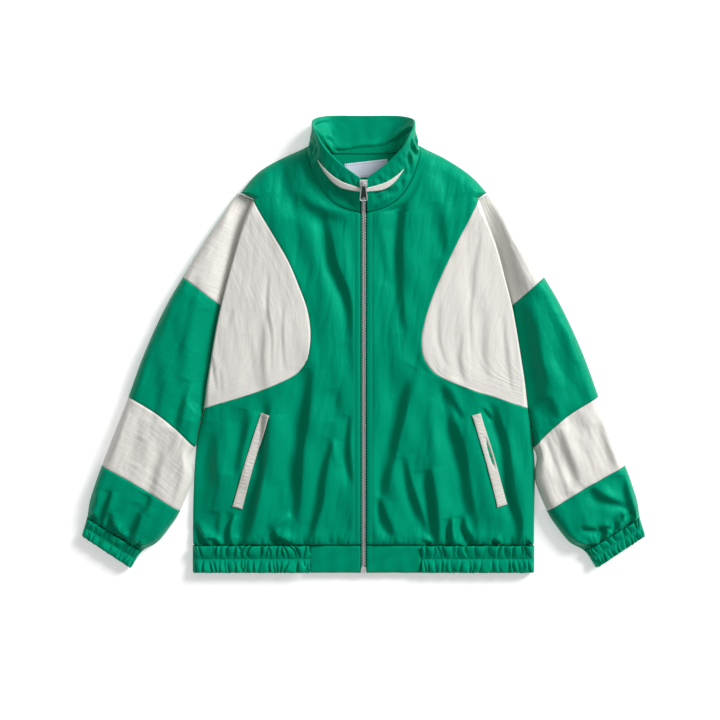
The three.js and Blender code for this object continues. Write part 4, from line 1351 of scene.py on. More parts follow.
@dataclass
class HemBand:
    """The hem: plain tabs beside the zip and gathered elastic round the rest."""

    room: Workroom
    tab_right: float = 91.0
    tab_left: float = 98.5
    depth: float = 7.5
    gather: Gather = Gather(9.5, 4.5, 2.2)
    stitch_y: float = -366.4
    tab_cut: Cut = Cut(0.09, 0.047)
    elastic_cut: Cut = Cut(0.24, 0.047)
    back_cut: Cut = Cut(0.595, 0.047)

    def rows(self) -> Array:
        """Heights y of the band's grid, close together at its edges and its middle stitches."""
        low = HEM_Y + (self.stitch_y - HEM_Y) * graded(23, 0.7, 1.6, 3)
        top = BAND_TOP_Y - SEAM / 2
        high = self.stitch_y + (top - self.stitch_y) * graded(23, 0.7, 1.6, 3)
        return np.concatenate([low, high[1:]])

    def tab(self, side: Side) -> None:
        """One plain tab beside the zip.

        Args:
            side: the wearer's right or left.
        """
        end = side.pick(self.tab_right, self.tab_left) - SEAM / 2
        x, y = np.meshgrid(
            side.value * blend(ZIP_OPENING, end, graded(90, 0.8, 2.6)), self.rows(), indexing="ij"
        )
        z = SHAPE.band_z(side, x, y) + Ripple(40, 1.5, 70, 0.4, 41).at(x, y)
        panel = Panel(f"hem_tab_{side.label}_cloth", np.stack([x, y, z], -1), side.value)
        panel = panel.sewn([Rim.U_START, Rim.U_END, Rim.V_END], 0.8, 1.6).sewn([Rim.V_START], 1.2, 1.4)
        for rim, inset in ((Rim.U_START, 9.4), (Rim.V_START, 3.0), (Rim.V_END, 2.0), (Rim.U_END, 2.0)):
            panel = panel.grooved(rim, inset)
        self.room.sew(
            panel, "green_cloth", self.room.finishes.green, self.tab_cut, [f"front_{side.label}"]
        )
        for rim, inset in ((Rim.U_START, 9.4), (Rim.V_START, 3.0), (Rim.U_END, 2.0)):
            self.room.green_rows.append(panel.line_beside(rim, inset))

    def puckers(self, along: Array, y: Array, seed: int) -> Array:
        """Height of the gathers between the band's edges and its middle stitches.

        Args:
            along: where each point is along the band.
            y: the points' y.
            seed: which uneven set of gathers it is.

        Returns:
            The height at each point.
        """
        upper = y > self.stitch_y
        high, low = BAND_TOP_Y - self.stitch_y, self.stitch_y - HEM_Y
        held = np.where(upper, (y - self.stitch_y) / high, (self.stitch_y - y) / low)
        crest = np.where(upper, self.gather.crest(along, held, seed), self.gather.crest(along, held, seed + 1))
        return self.depth * crest * np.sin(np.pi * np.clip(0.66 * held, 0, 1))

    def elastic(self, side: Side) -> None:
        """The gathered elastic over one front.

        Args:
            side: the wearer's right or left.
        """
        start = side.pick(self.tab_right, self.tab_left) + SEAM / 2
        u, y = np.meshgrid(np.linspace(0, 1, 281) ** 0.9, self.rows(), indexing="ij")
        x = side.value * blend(start, SHAPE.edge(side, y), u)
        inside = roll(SHAPE.edge(side, y) - np.abs(x), 8)
        z = SHAPE.band_z(side, x, y) + self.puckers(np.abs(x) - start, y, side.pick(51, 55)) * inside
        panel = Panel(f"hem_elastic_{side.label}_cloth", np.stack([x, y, z], -1), side.value)
        panel = panel.sewn([Rim.U_START, Rim.V_END], 1.0, 1.5).sewn([Rim.V_START], 1.0, 1.3)
        self.room.sew(
            panel,
            "green_cloth",
            self.room.finishes.knit,
            self.elastic_cut,
            ["hem_elastic_back"],
            ELASTIC_SHELL,
            "gathered",
        )
        middle = np.abs(panel.points[:, :, 1] - self.stitch_y).mean(axis=0).argmin()
        self.room.green_rows.append(panel.points[:, middle] + [0, 0, 0.1])

    def back(self) -> None:
        """The elastic across the back, flat on the floor."""
        u, y = np.meshgrid(np.linspace(-1, 1, 401), self.rows(), indexing="ij")
        points = back_face(u, y)
        inside = roll((1 - np.abs(u)) * 290, 14)
        points[..., 2] += 0.3 * self.puckers(290 + u * 290, y, 59) * inside
        panel = Panel("hem_elastic_back_cloth", points, -1)
        self.room.sew(
            panel, "green_cloth", self.room.finishes.knit, self.back_cut, ["floor"], 2.4, "gathered"
        )

    def build(self) -> None:
        """Makes all the band's pieces."""
        self.back()
        for side in Side:
            self.tab(side)
            self.elastic(side)


# Creases of the sleeves' upper faces
RIGHT_SLEEVE_CREASES = (
    Crease(((-200, 232), (-214, 180), (-228, 130), (-240, 78)), 14, -5.0),
    Crease(((-262, 60), (-270, 0), (-278, -60), (-290, -130)), 16, -7.0),
    Crease(((-300, -60), (-313, -100), (-324, -142)), 10, -4.2, 0.5),
    Crease(((-328, -148), (-346, -185), (-359, -218), (-370, -250)), 12, -3.2, 0.4),
    Crease(((-374, -160), (-385, -205)), 9, -2.0, 0.4),
    Crease(((-408, -112), (-424, -150), (-440, -190)), 9, -2.4, 0.4),
    Crease(((-330, 60), (-322, 0), (-330, -60)), 16, -2.2, 0.3),
    Crease(((-360, -20), (-356, -80), (-366, -130)), 14, -2.2, 0.3),
    Crease(((-431, -248), (-437, -266), (-443, -286), (-449, -312)), 5.5, -6.6, 0.6),
    Crease(((-431, -286), (-431, -302), (-420, -321), (-404, -338)), 5, -6.4, 0.6),
    Crease(((-380, -270), (-387, -292), (-396, -317), (-404, -340)), 9, -6.2, 0.5),
    Crease(((-366, -256), (-371, -270), (-377, -288)), 7, -3.4, 0.5),
    Crease(((-406, -328), (-399, -324), (-392, -326)), 3.5, 2.6),
    Crease(((-392, -342), (-384, -342), (-374, -348)), 4, -4.6, 0.4),
    Crease(((-470, -286), (-463, -291), (-456, -302)), 4.5, -4.4, 0.5),
    Crease(((-462, -250), (-462, -270), (-464, -288)), 8, -3.0, 0.4),
    Crease(((-300, 110), (-280, 90), (-262, 80)), 10, -1.8),
)
LEFT_SLEEVE_CREASES = (
    Crease(((204, 236), (218, 180), (232, 130), (244, 74)), 18, -9.0, 0.3),
    Crease(((254, 66), (266, 0), (278, -60), (294, -146)), 24, -11.0, 0.3),
    Crease(((308, -90), (322, -130)), 10, -3.4, 0.4),
    Crease(((304, -158), (318, -193), (330, -226), (343, -262)), 8, -2.6, 0.4),
    Crease(((323, -144), (338, -185), (350, -214), (355, -248)), 10, -3.4, 0.4),
    Crease(((396, -134), (408, -177), (425, -216)), 9, -2.2, 0.4),
    Crease(((336, 50), (330, 0), (338, -70)), 16, -2.2, 0.3),
    Crease(((370, -30), (366, -90), (376, -130)), 14, -2.0, 0.3),
    Crease(((439, -222), (441, -250), (447, -272), (458, -292)), 9, -6.6, 0.5),
    Crease(((382, -248), (406, -266), (446, -280)), 8, -5.6, 0.5),
    Crease(((368, -314), (382, -316), (396, -318)), 5, -3.6, 0.4),
    Crease(((398, -314), (408, -314), (420, -314)), 4.5, -4.6, 0.4),
    Crease(((407, -314), (406, -324), (406, -338)), 5, -5.4, 0.5),
    Crease(((442, -290), (428, -305), (424, -328)), 5, -5.6, 0.5),
    Crease(((460, -284), (452, -302), (450, -322)), 5, -5.2, 0.5),
    Crease(((348, -328), (362, -343), (400, -345)), 5, -5.4, 0.4),
    Crease(((460, -240), (466, -265), (468, -290)), 7, -3.0, 0.4),
)


@dataclass
class Sleeve:
    """One sleeve, from its pale cap to its gathered cuff."""

    room: Workroom
    side: Side
    cap_row: float = 3.0
    band_row: float = 7.0
    lower_row: float = 9.0
    cuff_row: float = 12.0
    row_gap: float = 0.003
    slit: float = 0.0022
    cap_edge: float = 0.46
    roll_radius: float = 19.0
    armhole_slope: float = 46.0
    tuck: float = 0.6
    fullness: float = 1.3
    cuff_loft: float = 15.0
    cuff_depth: float = 5.6
    gather: Gather = Gather(7.6, 3.2, 1.7)
    cuts: dict[str, Cut] = field(
        default_factory=lambda: {
            "sleeve_cap": Cut(0.087, 0.19, 0.0097),
            "sleeve_cap_back": Cut(0.088, 0.19, 0.01),
            "sleeve_upper": Cut(0.315, 0.247, 0.0535),
            "sleeve_band": Cut(0.348, 0.126, 0.039),
            "sleeve_lower": Cut(0.342, 0.102, 0.03),
            "cuff": Cut(0.257, 0.034, 0.0077),
        }
    )

    def __post_init__(self) -> None:
        """Reads the table of rows."""
        rows = range(len(SLEEVE_ROWS))
        names = ("out_x", "out_y", "in_x", "in_y", "loft", "bow")
        self.lines = {name: Line(rows, [row[i] for row in SLEEVE_ROWS]) for i, name in enumerate(names)}

    def face(self, row: Array, w: Array) -> Array:
        """The sleeve's outer face.

        Args:
            row: from 0 at the shoulder to 13 at the cuff's end.
            w: from 0 at the inner edge over the top to 0.5 at the outer fold, then to 1 along the floor.

        Returns:
            The points.
        """
        out_x, out_y, in_x, in_y, loft, bow = (line(row) for line in self.lines.values())
        closed = 1 - smooth(in_y, UNDERARM_Y - 16, UNDERARM_Y)
        in_x = np.maximum(in_x, SHAPE.edge(self.side, in_y) + blend(SEAM / 2, -self.tuck, closed))
        width = np.hypot(out_x - in_x, out_y - in_y)
        share = (1 - np.cos(2 * np.pi * w)) / 2
        bowed = bow * np.sin(np.pi * share)
        x = blend(in_x, out_x, share) - (out_y - in_y) / width * bowed
        y = blend(in_y, out_y, share) + (out_x - in_x) / width * bowed
        from_in, from_out = share * width, (1 - share) * width
        x = x * self.side.value
        turned = SIDE_SEAM_Z * (1 - roll(from_out, BACK_ROLL))
        turned = turned + closed * SIDE_SEAM_Z * (1 - roll(from_in, BACK_ROLL))
        cuff = row > self.cuff_row
        radius = np.where(cuff, 9.0, self.roll_radius)
        armhole = np.sin(np.pi / 2 * np.minimum(from_in / self.armhole_slope, 1))
        rise = blend(armhole, roll(from_in, radius), closed) * roll(from_out, radius)
        seam = blend(blend(ARM_SEAM_Z, SIDE_SEAM_Z, closed), SIDE_SEAM_Z, share)
        wrist = 2.0 * (1 - smooth(self.cuff_row - row, 0, 1.8))
        puffed = loft + wrist * np.cos(4 * np.pi * 6 * w)
        sewn = blend(self.cuff_loft, puffed, roll(self.cuff_row - row, 0.35))
        top = np.where(cuff, self.cuff_loft + self.ruffle(row, w), sewn + self.relief(x, y, row))
        z = np.where(w > 0.5, turned, seam + (top - seam) * rise)
        return np.stack([x, y, z], -1)

    def relief(self, x: Array, y: Array, row: Array) -> Array:
        """Height of the creases over the sleeve's upper face.

        Args:
            x: the points' x.
            y: the points' y.
            row: the points' rows.

        Returns:
            The height at each point.
        """
        creases = self.side.pick(RIGHT_SLEEVE_CREASES, LEFT_SLEEVE_CREASES)
        height = self.fullness * sum(crease.height(x, y) for crease in creases)
        run = self.side.pick(68, 112)
        height = height + Ripple(55, 2.2, run, 0.7, self.side.pick(61, 62)).at(x, y)
        height = height + Ripple(22, 3.0, run, 0.25, self.side.pick(63, 64), 0.4).at(x, y)
        gathers = Ripple(13, 4.0, run, 1.5, self.side.pick(65, 66), 0.5).at(x, y)
        return height + gathers * (1 - smooth(self.cuff_row - row, 0, 1.3))

    def ruffle(self, row: Array, w: Array) -> Array:
        """Height of the cuff's gathers, held down by the stitches along its middle.

        Args:
            row: the points' rows.
            w: the points' places round the arm.

        Returns:
            The height at each point.
        """
        seed = self.side.pick(71, 75)
        along = 2 * w * 126
        upper = row < 12.5
        held = np.clip(np.abs(row - 12.5) / 0.5, 0, 1)
        crest = np.where(upper, self.gather.crest(along, held, seed), self.gather.crest(along, held, seed + 1))
        return self.cuff_depth * crest * np.sin(np.pi * np.clip(0.66 * held, 0, 1))

    def piece(
        self, name: str, slot: str, material: bpy.types.Material, rows: Array, around: Array, thick: float
    ) -> Panel:
        """Makes one stretch of the sleeve.

        Args:
            name: the node's name without its side.
            slot: not used.
            material: its finish.
            rows: its rows.
            around: its places round the arm.
            thick: its thickness.

        Returns:
            The piece's outer face.
        """
        row, w = np.meshgrid(rows, around, indexing="ij")
        panel = Panel(f"{name}_{self.side.label}_cloth", self.face(row, w), self.side.value)
        if "band" in name or name == "sleeve_cap":
            top = (w < 0.5) * np.sin(2 * np.pi * np.clip(w, 0, 0.5))
            crinkle = Ripple(13, 6.0, self.side.pick(64, 116), 0.25, 81, 0.7).at(
                panel.points[..., 0], panel.points[..., 1]
            )
            panel = panel.raised(crinkle * top)
        top_only = smooth(0.5 - w, 0, 0.03)
        seams = [Rim.U_START, Rim.U_END]
        dip = sum(np.exp(-((panel.away(rim) / 1.9) ** 2)) for rim in seams)
        panel = panel.raised(-0.9 * dip * top_only)
        held = "gathered" if name == "cuff" else "laid"
        self.room.sew(panel, slot, material, self.cuts[name], ["back"], thick, held)
        return panel

    def build(self) -> None:
        """Makes the sleeve's pieces and their rows of stitches."""
        finishes = self.room.finishes
        under = np.linspace(0.5, 1 - self.slit, 25)[1:]
        over = np.linspace(self.slit, 0.5, 92)
        round_arm = np.concatenate([over, under])
        cap_end = self.cap_row - self.row_gap
        cap_rows = 0.02 + (cap_end - 0.02) * graded(175, 1.0, 2.8)
        gap = 0.0012
        self.piece(
            "sleeve_cap",
            "pale_cloth",
            finishes.cream,
            cap_rows,
            np.linspace(0, self.cap_edge - gap, 52),
            SHELL,
        )
        under_cap = np.concatenate(
            [np.linspace(self.cap_edge + gap, 0.5, 14), np.linspace(0.5, 1, 26)[1:]]
        )
        self.piece("sleeve_cap_back", "green_cloth", finishes.green, cap_rows, under_cap, SHELL)

        def rows(start: float, end: float, length: float) -> Array:
            """Rows of a stretch between two seams."""
            first, last = start + self.row_gap, end - self.row_gap
            return first + (last - first) * graded(length, 0.9, 2.3)

        self.piece(
            "sleeve_upper",
            "green_cloth",
            finishes.green,
            rows(self.cap_row, self.band_row, 240),
            round_arm,
            SHELL,
        )
        self.piece(
            "sleeve_band",
            "pale_cloth",
            finishes.cream,
            rows(self.band_row, self.lower_row, 125),
            round_arm,
            SHELL,
        )
        self.piece(
            "sleeve_lower",
            "green_cloth",
            finishes.green,
            rows(self.lower_row, self.cuff_row, 105),
            round_arm,
            SHELL,
        )
        ruffled = np.concatenate([np.linspace(self.slit, 0.5, 201), under])
        half = graded(16, 0.8, 1.8, 3)
        cuff_rows = np.concatenate([12.0 + self.row_gap + 0.497 * half, 12.5 + 0.497 * half[1:]])
        cuff = self.piece("cuff", "green_cloth", finishes.knit, cuff_rows, ruffled, ELASTIC_SHELL)
        middle = len(cuff.points) // 2
        self.room.green_rows.append(cuff.points[middle, 3:198] + [0, 0, 0.1])


# Creases of the collar's outside and of its facing, along from the middle of the back and up from the seam
COLLAR_CREASES = (
    Crease(((178, 2), (160, 22), (150, 46)), 6, -3.6, 0.5),
    Crease(((120, 4), (130, 26), (126, 52)), 6, -5.0, 0.6),
    Crease(((92, 4), (102, 24), (96, 46)), 6, -3.2, 0.5),
    Crease(((214, 4), (198, 18), (176, 24)), 5, -3.4, 0.5),
    Crease(((288, 12), (262, 20), (232, 14)), 5, -3.2, 0.5),
    Crease(((286, 26), (264, 29), (246, 26)), 4, -1.8, 0.4),
    Crease(((-112, 2), (-120, 26), (-116, 50)), 7, -5.5, -0.5),
    Crease(((-142, 2), (-138, 24), (-146, 48)), 7, -5.0, -0.5),
    Crease(((-168, 2), (-166, 18), (-172, 34)), 7, -4.4, -0.5),
    Crease(((-292, 6), (-262, 18), (-206, 14)), 5, -5.4, -0.5),
    Crease(((-288, 14), (-266, 9), (-230, 4)), 4.5, -4.2, -0.5),
    Crease(((-288, 24), (-264, 28), (-226, 24)), 5, -2.8, -0.4),
)
FACING_CREASES = (
    Crease(((-92, 64), (-88, 44), (-76, 26), (-70, 0)), 5, -6.0, 0.5),
    Crease(((-52, 4), (-26, 3), (0, 8), (24, 10), (40, 20), (54, 35), (70, 47), (88, 56)), 3.5, -6.0, 0.5),
    Crease(((-70, 54), (-50, 52), (-34, 53)), 3.5, -3.0, 0.4),
    Crease(((-56, 26), (-44, 24)), 3, -2.4, 0.4),
    Crease(((96, 6), (104, 26), (112, 44)), 6, -4.0, 0.4),
)


@dataclass
class Collar:
    """The stand collar with its facing and its pale stripes."""

    room: Workroom
    half_length: float = 300.0
    height: float = 60.0
    swell: float = 3.2
    facing_gap: float = 0.5
    facing_low: float = 2.9
    stripe_rows: tuple[float, ...] = (0, 1, 2, 3, 4, 5.3)
    stripe_middle: tuple[float, ...] = (0.68, 0.615, 0.555, 0.52, 0.505, 0.49)
    stripe_half: tuple[float, ...] = (0.06, 0.075, 0.085, 0.075, 0.05, 0.005)
    stripe_gap: float = 0.5
    stripe_thick: float = 0.9
    nudge: float = 2e-4
    collar_cut: Cut = Cut(0.517, 0.069, 0.0304)
    facing_cut: Cut = Cut(0.485, 0.065, 0.0211)
    stripe_cut: Cut = Cut(0.105, 0.011, 0.0008)

    def __post_init__(self) -> None:
        """Reads the tables."""
        count = len(COLLAR_NECK)
        self.last = count - 1
        heights = [float(SHAPE.front_z(Side.LEFT, np.array(x), np.array(y))) for x, y in COLLAR_NECK[:9]]
        neck = [(x, y, z) for (x, y), z in zip(COLLAR_NECK, heights + list(BACK_NECK_Z))]
        self.rails = {
            name: [Line(range(count), [row[i] for row in rows]) for i in range(3)]
            for name, rows in (("neck", neck), ("top", COLLAR_TOP), ("foot", COLLAR_FOOT))
        }

    def rail(self, name: str, q: Array) -> Array:
        """A line along the collar.

        Args:
            name: which line: neck, top or foot.
            q: -1 at the zip's right, 0 at the middle of the back, 1 at the zip's left.

        Returns:
            The line's points.
        """
        row = self.last * (1 - np.abs(q))
        x, y, z = (line(row) for line in self.rails[name])
        return np.stack([np.where(q < 0, -x, x), y, z], -1)

    def face(self, q: Array, v: Array) -> Array:
        """The collar's outer face.

        Args:
            q: the place along the collar.
            v: 0 at the neck seam and 1 at the top edge.

        Returns:
            The points.
        """
        row = self.last * (1 - np.abs(q))
        standing = 1 - smooth(row, 7, 9.5)
        points = blend(self.rail("neck", q), self.rail("top", q), v[..., None])
        points[..., 2] += standing * (self.swell * np.sin(np.pi * np.clip(v, 0, 1)) + SEAM * (1 - v))
        points[..., 2] = np.maximum(points[..., 2], 0)
        return points

    def outward(self, q: Array, v: Array) -> Array:
        """The direction out of the collar's face at each place.

        Args:
            q: the place along the collar.
            v: 0 at the neck seam and 1 at the top edge.

        Returns:
            Unit vectors.
        """
        step = self.nudge
        dq = self.face(np.minimum(q + step, 1), v) - self.face(np.maximum(q - step, -1), v)
        dv = self.face(q, np.minimum(v + step, 1)) - self.face(q, np.maximum(v - step, 0))
        normal = np.cross(dv, dq)
        return normal / np.linalg.norm(normal, axis=-1, keepdims=True)

    def out(self, q: Array, v: Array, distance: float) -> Array:
        """The collar's face moved out by a distance."""
        return self.face(q, v) + self.outward(q, v) * distance

    def shell(self) -> Panel:
        """The collar's outer layer, rolled over at its top edge."""
        stations = np.concatenate([-graded(290, 1.0, 2.6)[::-1], graded(290, 1.0, 2.6)[1:]])
        stations = np.unique(np.sign(stations) * (1 - np.abs(stations)))
        v_face = 0.01 + 0.99 * graded(60, 1.0, 2.2, 5)
        q, v = np.meshgrid(stations, v_face, indexing="ij")
        points = self.face(q, v)
        normal = self.outward(q, v)
        along, up = q * self.half_length, v * self.height
        relief = Ripple(26, 1.6, 60, 0.5, 91).at(along, up) + Ripple(14, 2.5, 84, 0.3, 92, 0.5).at(along, up)
        relief = relief + sum(crease.height(along, up) for crease in COLLAR_CREASES)
        fade = smooth(v, 0, 0.2) * (1 - smooth(v, 0.8, 1)) * smooth(1 - np.abs(q), 0.01, 0.1)
        fade = fade * smooth(np.abs(q), 0.2, 0.36)
        points = points + normal * (relief * fade)[..., None]
        radius = (CLOTH + self.facing_gap + FACING) / 2
        ends, top = stations[:, None], np.ones((len(stations), 1))
        edge, outward = self.face(ends, top), self.outward(ends, top)
        upward = edge - self.face(ends, top * 0.97)
        upward = upward / np.linalg.norm(upward, axis=-1, keepdims=True)
        turned = np.linspace(0, np.pi, 8)[None, 1:, None]
        over = edge + outward * radius * (np.cos(turned) - 1) + upward * radius * np.sin(turned)
        over[..., 2] = np.maximum(over[..., 2], 0)
        return Panel("collar_cloth", np.concatenate([points, over], axis=1), -1)

    def facing(self) -> Panel:
        """The inner layer that shows inside the neck."""
        stations = np.linspace(-1, 1, 201)
        q, v = np.meshgrid(stations, graded(60, 1.2, 2.4), indexing="ij")
        top = self.out(q, np.ones_like(q), -(CLOTH + self.facing_gap + FACING))
        points = blend(self.rail("foot", q), top, v[..., None])
        panel = Panel("collar_facing_cloth", points, 1)
        along, up = q * self.half_length, v * self.height
        relief = Ripple(24, 2.0, 75, 0.6, 93, 0.3).at(along, up)
        relief = relief + sum(crease.height(along, up) for crease in FACING_CREASES)
        fade = smooth(v, 0, 0.04) * (1 - smooth(v, 0.85, 1)) * smooth(1 - np.abs(q), 0, 0.08)
        panel = panel.raised(relief * fade)
        panel.points[..., 2] = np.maximum(panel.points[..., 2], self.facing_low)
        return panel

    def stripe(self, side: Side) -> Panel:
        """One pale stripe, from the zip round towards the back.

        Args:
            side: the wearer's right or left.

        Returns:
            Its outer face.
        """
        last = side.pick(self.stripe_rows[-1] - 0.15, self.stripe_rows[-1] - 1.15)
        row, across = np.meshgrid(last * graded(110, 0.8, 1.8), np.linspace(-1, 1, 9), indexing="ij")
        row = row[::-1]
        place = row * self.stripe_rows[-1] / last
        middle = Line(self.stripe_rows, self.stripe_middle)(place)
        half = Line(self.stripe_rows, self.stripe_half)(place)
        q, v = 1 - row / self.last, middle + half * across
        points = self.out(side.value * q, v, self.stripe_gap + self.stripe_thick)
        panel = Panel(f"collar_stripe_{side.label}_cloth", points, -side.value)
        return panel.sewn([Rim.V_START, Rim.V_END], 0.4, 0.7)

    def build(self) -> None:
        """Makes the collar's pieces."""
        finishes = self.room.finishes
        shell, facing = self.shell(), self.facing()
        self.room.sew(shell, "green_cloth", finishes.green, self.collar_cut, ["front_right", "front_left"])
        self.room.sew(facing, "green_cloth", finishes.green, self.facing_cut, ["collar", "back"])
        for side in Side:
            stripe = self.stripe(side)
            self.room.sew(stripe, "pale_cloth", finishes.cream, self.stripe_cut, ["collar"], 0.8)
        self.room.green_rows.append(facing.line_beside(Rim.V_END, 5.0))


@dataclass
class Pockets:
    """The two slanted pocket welts."""

    room: Workroom
    body: Body
    thick: float = 1.5
    gap: float = 0.45
    bend: float = 1.5
    slit_low: float = 0.38
    slit_high: float = 0.76
    slit_depth: float = 5.0
    cut: Cut = Cut(0.0185, 0.165, 0.00275)

    def welt(self, side: Side) -> None:
        """One welt, lying on its front; the one on the wearer's left gapes in its slit.

        Args:
            side: the wearer's right or left.
        """
        top, low = side.pick(((-167, -119), (-214.6, -279)), ((191.4, -119), (236.5, -275)))
        top_width, low_width = side.pick((14, 17), (15, 18))
        length = math.dist(top, low)
        along = ((top[0] - low[0]) / length, (top[1] - low[1]) / length)
        u, v = np.meshgrid(np.linspace(-0.5, 0.5, 23), graded(length, 0.8, 1.2, 4), indexing="ij")
        width = blend(low_width, top_width, v)
        bend = self.bend * np.sin(np.pi * v) * side.value
        x = blend(low[0], top[0], v) + along[1] * (width * u + bend)
        y = blend(low[1], top[1], v) - along[0] * width * u
        around = [
            SHAPE.front_z(side, x + i, y + j, self.body.relief(side, x + i, y + j))
            for i in (-5, 0, 5)
            for j in (-14, 0, 14)
        ]
        level = (np.max(around, axis=0) + np.mean(around, axis=0)) / 2
        z = np.maximum(level, around[4]) + self.gap + self.thick
        panel = Panel(f"pocket_welt_{side.label}_cloth", np.stack([x, y, z], -1), 1)
        panel = panel.sewn([Rim.U_START, Rim.U_END, Rim.V_START, Rim.V_END], 0.9, 1.1)
        wrinkles = Ripple(5.5, 4.0, side.pick(-16, 16), 0.3, side.pick(95, 96), 0.5).at(x, y)
        panel = panel.raised(wrinkles * np.cos(np.pi * u))
        if side is Side.LEFT:
            mouth = np.sin(np.pi * np.clip((v - self.slit_low) / (self.slit_high - self.slit_low), 0, 1))
            panel = panel.raised(-self.slit_depth * mouth * np.exp(-(((u - 0.2) / 0.14) ** 2)))
        for rim in (Rim.U_START, Rim.V_START, Rim.V_END):
            panel = panel.grooved(rim, 2.4, 0.3, 0.9)
        self.room.sew(
            panel, "pale_cloth", self.room.finishes.welt, self.cut, [f"front_{side.label}"], 1.2
        )
        for rim in (Rim.U_START, Rim.V_START, Rim.V_END):
            self.room.cream_rows.append(panel.line_beside(rim, 2.4))

    def build(self) -> None:
        """Makes both welts."""
        for side in Side:
            self.welt(side)


@dataclass
class Zip:
    """The zip: tapes, teeth, slider and pull."""

    room: Workroom
    collar: Collar
    pitch: float = 1.32
    tooth_width: float = 4.5
    tooth_length: float = 1.06
    corner_drop: float = 0.9
    corner_reach: float = 7.0
    tape_cut: Cut = Cut(0.015, 0.669)
    slider_y: float = 270.0
    slider_above: float = 0.8
    slider_thick: float = 2.2
    bridge_height: float = 5.4
    rest_angle: float = 0.2

    def point(self, x: Array, y: Array, drop: Any) -> Array:
        """A point beside the zip, some way below the outer face of the band, the fronts or the collar.

        Args:
            x: the points' x.
            y: the points' y.
            drop: how far below the outer face they lie.

        Returns:
            The points.
        """
        out = np.maximum(np.abs(x), ZIP_OPENING + SEAM)
        body = np.where(
            x < 0,
            SHAPE.front_z(Side.RIGHT, out, np.maximum(y, BAND_TOP_Y)),
            SHAPE.front_z(Side.LEFT, out, np.maximum(y, BAND_TOP_Y)),
        )
        low_z = np.where(y < BAND_TOP_Y, BAND_LOFT, body) - drop
        flat = np.stack([x, y, low_z], -1)
        foot, head = COLLAR_NECK[0][1], COLLAR_TOP[0][1]
        v = np.clip((y - foot) / (head - foot), 0, 1)
        step = blend(COLLAR_NECK[1][0], COLLAR_TOP[1][0], v) - ZIP_OPENING
        q = 1 - (out - ZIP_OPENING) / step / self.collar.last
        stood = self.collar.face(q, v) - self.collar.outward(q, v) * np.asarray(drop)[..., None]
        stood[..., 0] = x
        return np.where((y < foot)[..., None], flat, stood)

    def rows(self, start: float) -> Array:
        """Heights y along the zip from a start to its top."""
        return np.linspace(start, ZIP_TOP_Y, 300)

    def tape(self, side: Side) -> None:
        """One woven tape behind a front.

        Args:
            side: the wearer's right or left.
        """
        across = np.array([SEAM / 2, 2.4, 4.4, 5.2, 9, TAPE_WIDTH]) * side.value
        x, y = np.meshgrid(np.sort(across), self.rows(HEM_Y + 0.5), indexing="ij")
        corner = np.exp(-(((y - COLLAR_NECK[0][1]) / self.corner_reach) ** 2))
        panel = Panel(
            f"zip_tape_{side.label}_cloth", self.point(x, y, TAPE_DROP + self.corner_drop * corner), 1
        )
        self.room.sew(
            panel,
            "zip_tape",
            self.room.finishes.tape,
            self.tape_cut,
            [f"front_{side.label}", "zip_chain"],
            0.9,
        )

    def teeth(self) -> None:
        """The closed chain: a tooth from each side in turn."""
        half, end = CHAIN_HALF, self.tooth_width - CHAIN_HALF
        w, h = self.tooth_length / 2, CHAIN_THICK / 2
        cut = 0.35
        outline = ((-half, h * 0.5), (-half + 1, h), (end - cut, h), (end, h - cut))
        ring = [*outline, *[(x, -z) for x, z in reversed(outline)]]
        places = [(x, y, z) for y in (-w, w) for x, z in ring]
        count = len(ring)
        faces = [list(range(count)), [count + k for k in reversed(range(count))]]
        faces += [[(k + 1) % count, k, count + k, count + (k + 1) % count] for k in range(count)]
        tooth = hidden_shape("tooth", places, faces)
        repeater = Repeater("zip_teeth", tooth, alternate=True)
        y = self.rows(HEM_Y + BOX_LENGTH + 1.2)
        path = self.point(np.zeros_like(y), y, TAPE_DROP - SEAM - CHAIN_THICK / 2)
        piece = repeater.along("zip_teeth", [path], self.pitch, self.room.finishes.steel)
        piece.data.shade_flat()
        self.room.place(piece, "zip_metal", ["zip_chain"])

    def metal(self) -> None:
        """Gives the carried-over metal nodes their finish."""
        for name in ("zip_box", "zip_slider", "zip_bridge"):
            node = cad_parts[name]
            for holder in node.material_slots:
                holder.material = self.room.finishes.steel

    def hinge(self) -> Matrix:
        """The place and turn of the pull's bar, in the eye of the slider's bridge."""
        spots = [np.array([self.slider_y + step]) for step in (0, -3, 3)]
        base, behind, ahead = (
            self.point(np.zeros(1), y, drop)[0] for y, drop in zip(spots, (-self.slider_above, 0.0, 0.0))
        )
        tilt = math.atan2(ahead[2] - behind[2], ahead[1] - behind[1])
        eye = self.slider_thick + (SEAM + self.bridge_height) / 2
        lifted = Matrix.Translation(Vector(base)) @ Matrix.Rotation(tilt, 4, "X")
        return lifted @ Matrix.Translation((0, 0, eye)) @ Matrix.Rotation(self.rest_angle, 4, "X")

    def build(self) -> None:
        """Makes the zip's pieces."""
        for side in Side:
            self.tape(side)
        self.teeth()
        self.metal()
        Pull(self.room).build(self.hinge())


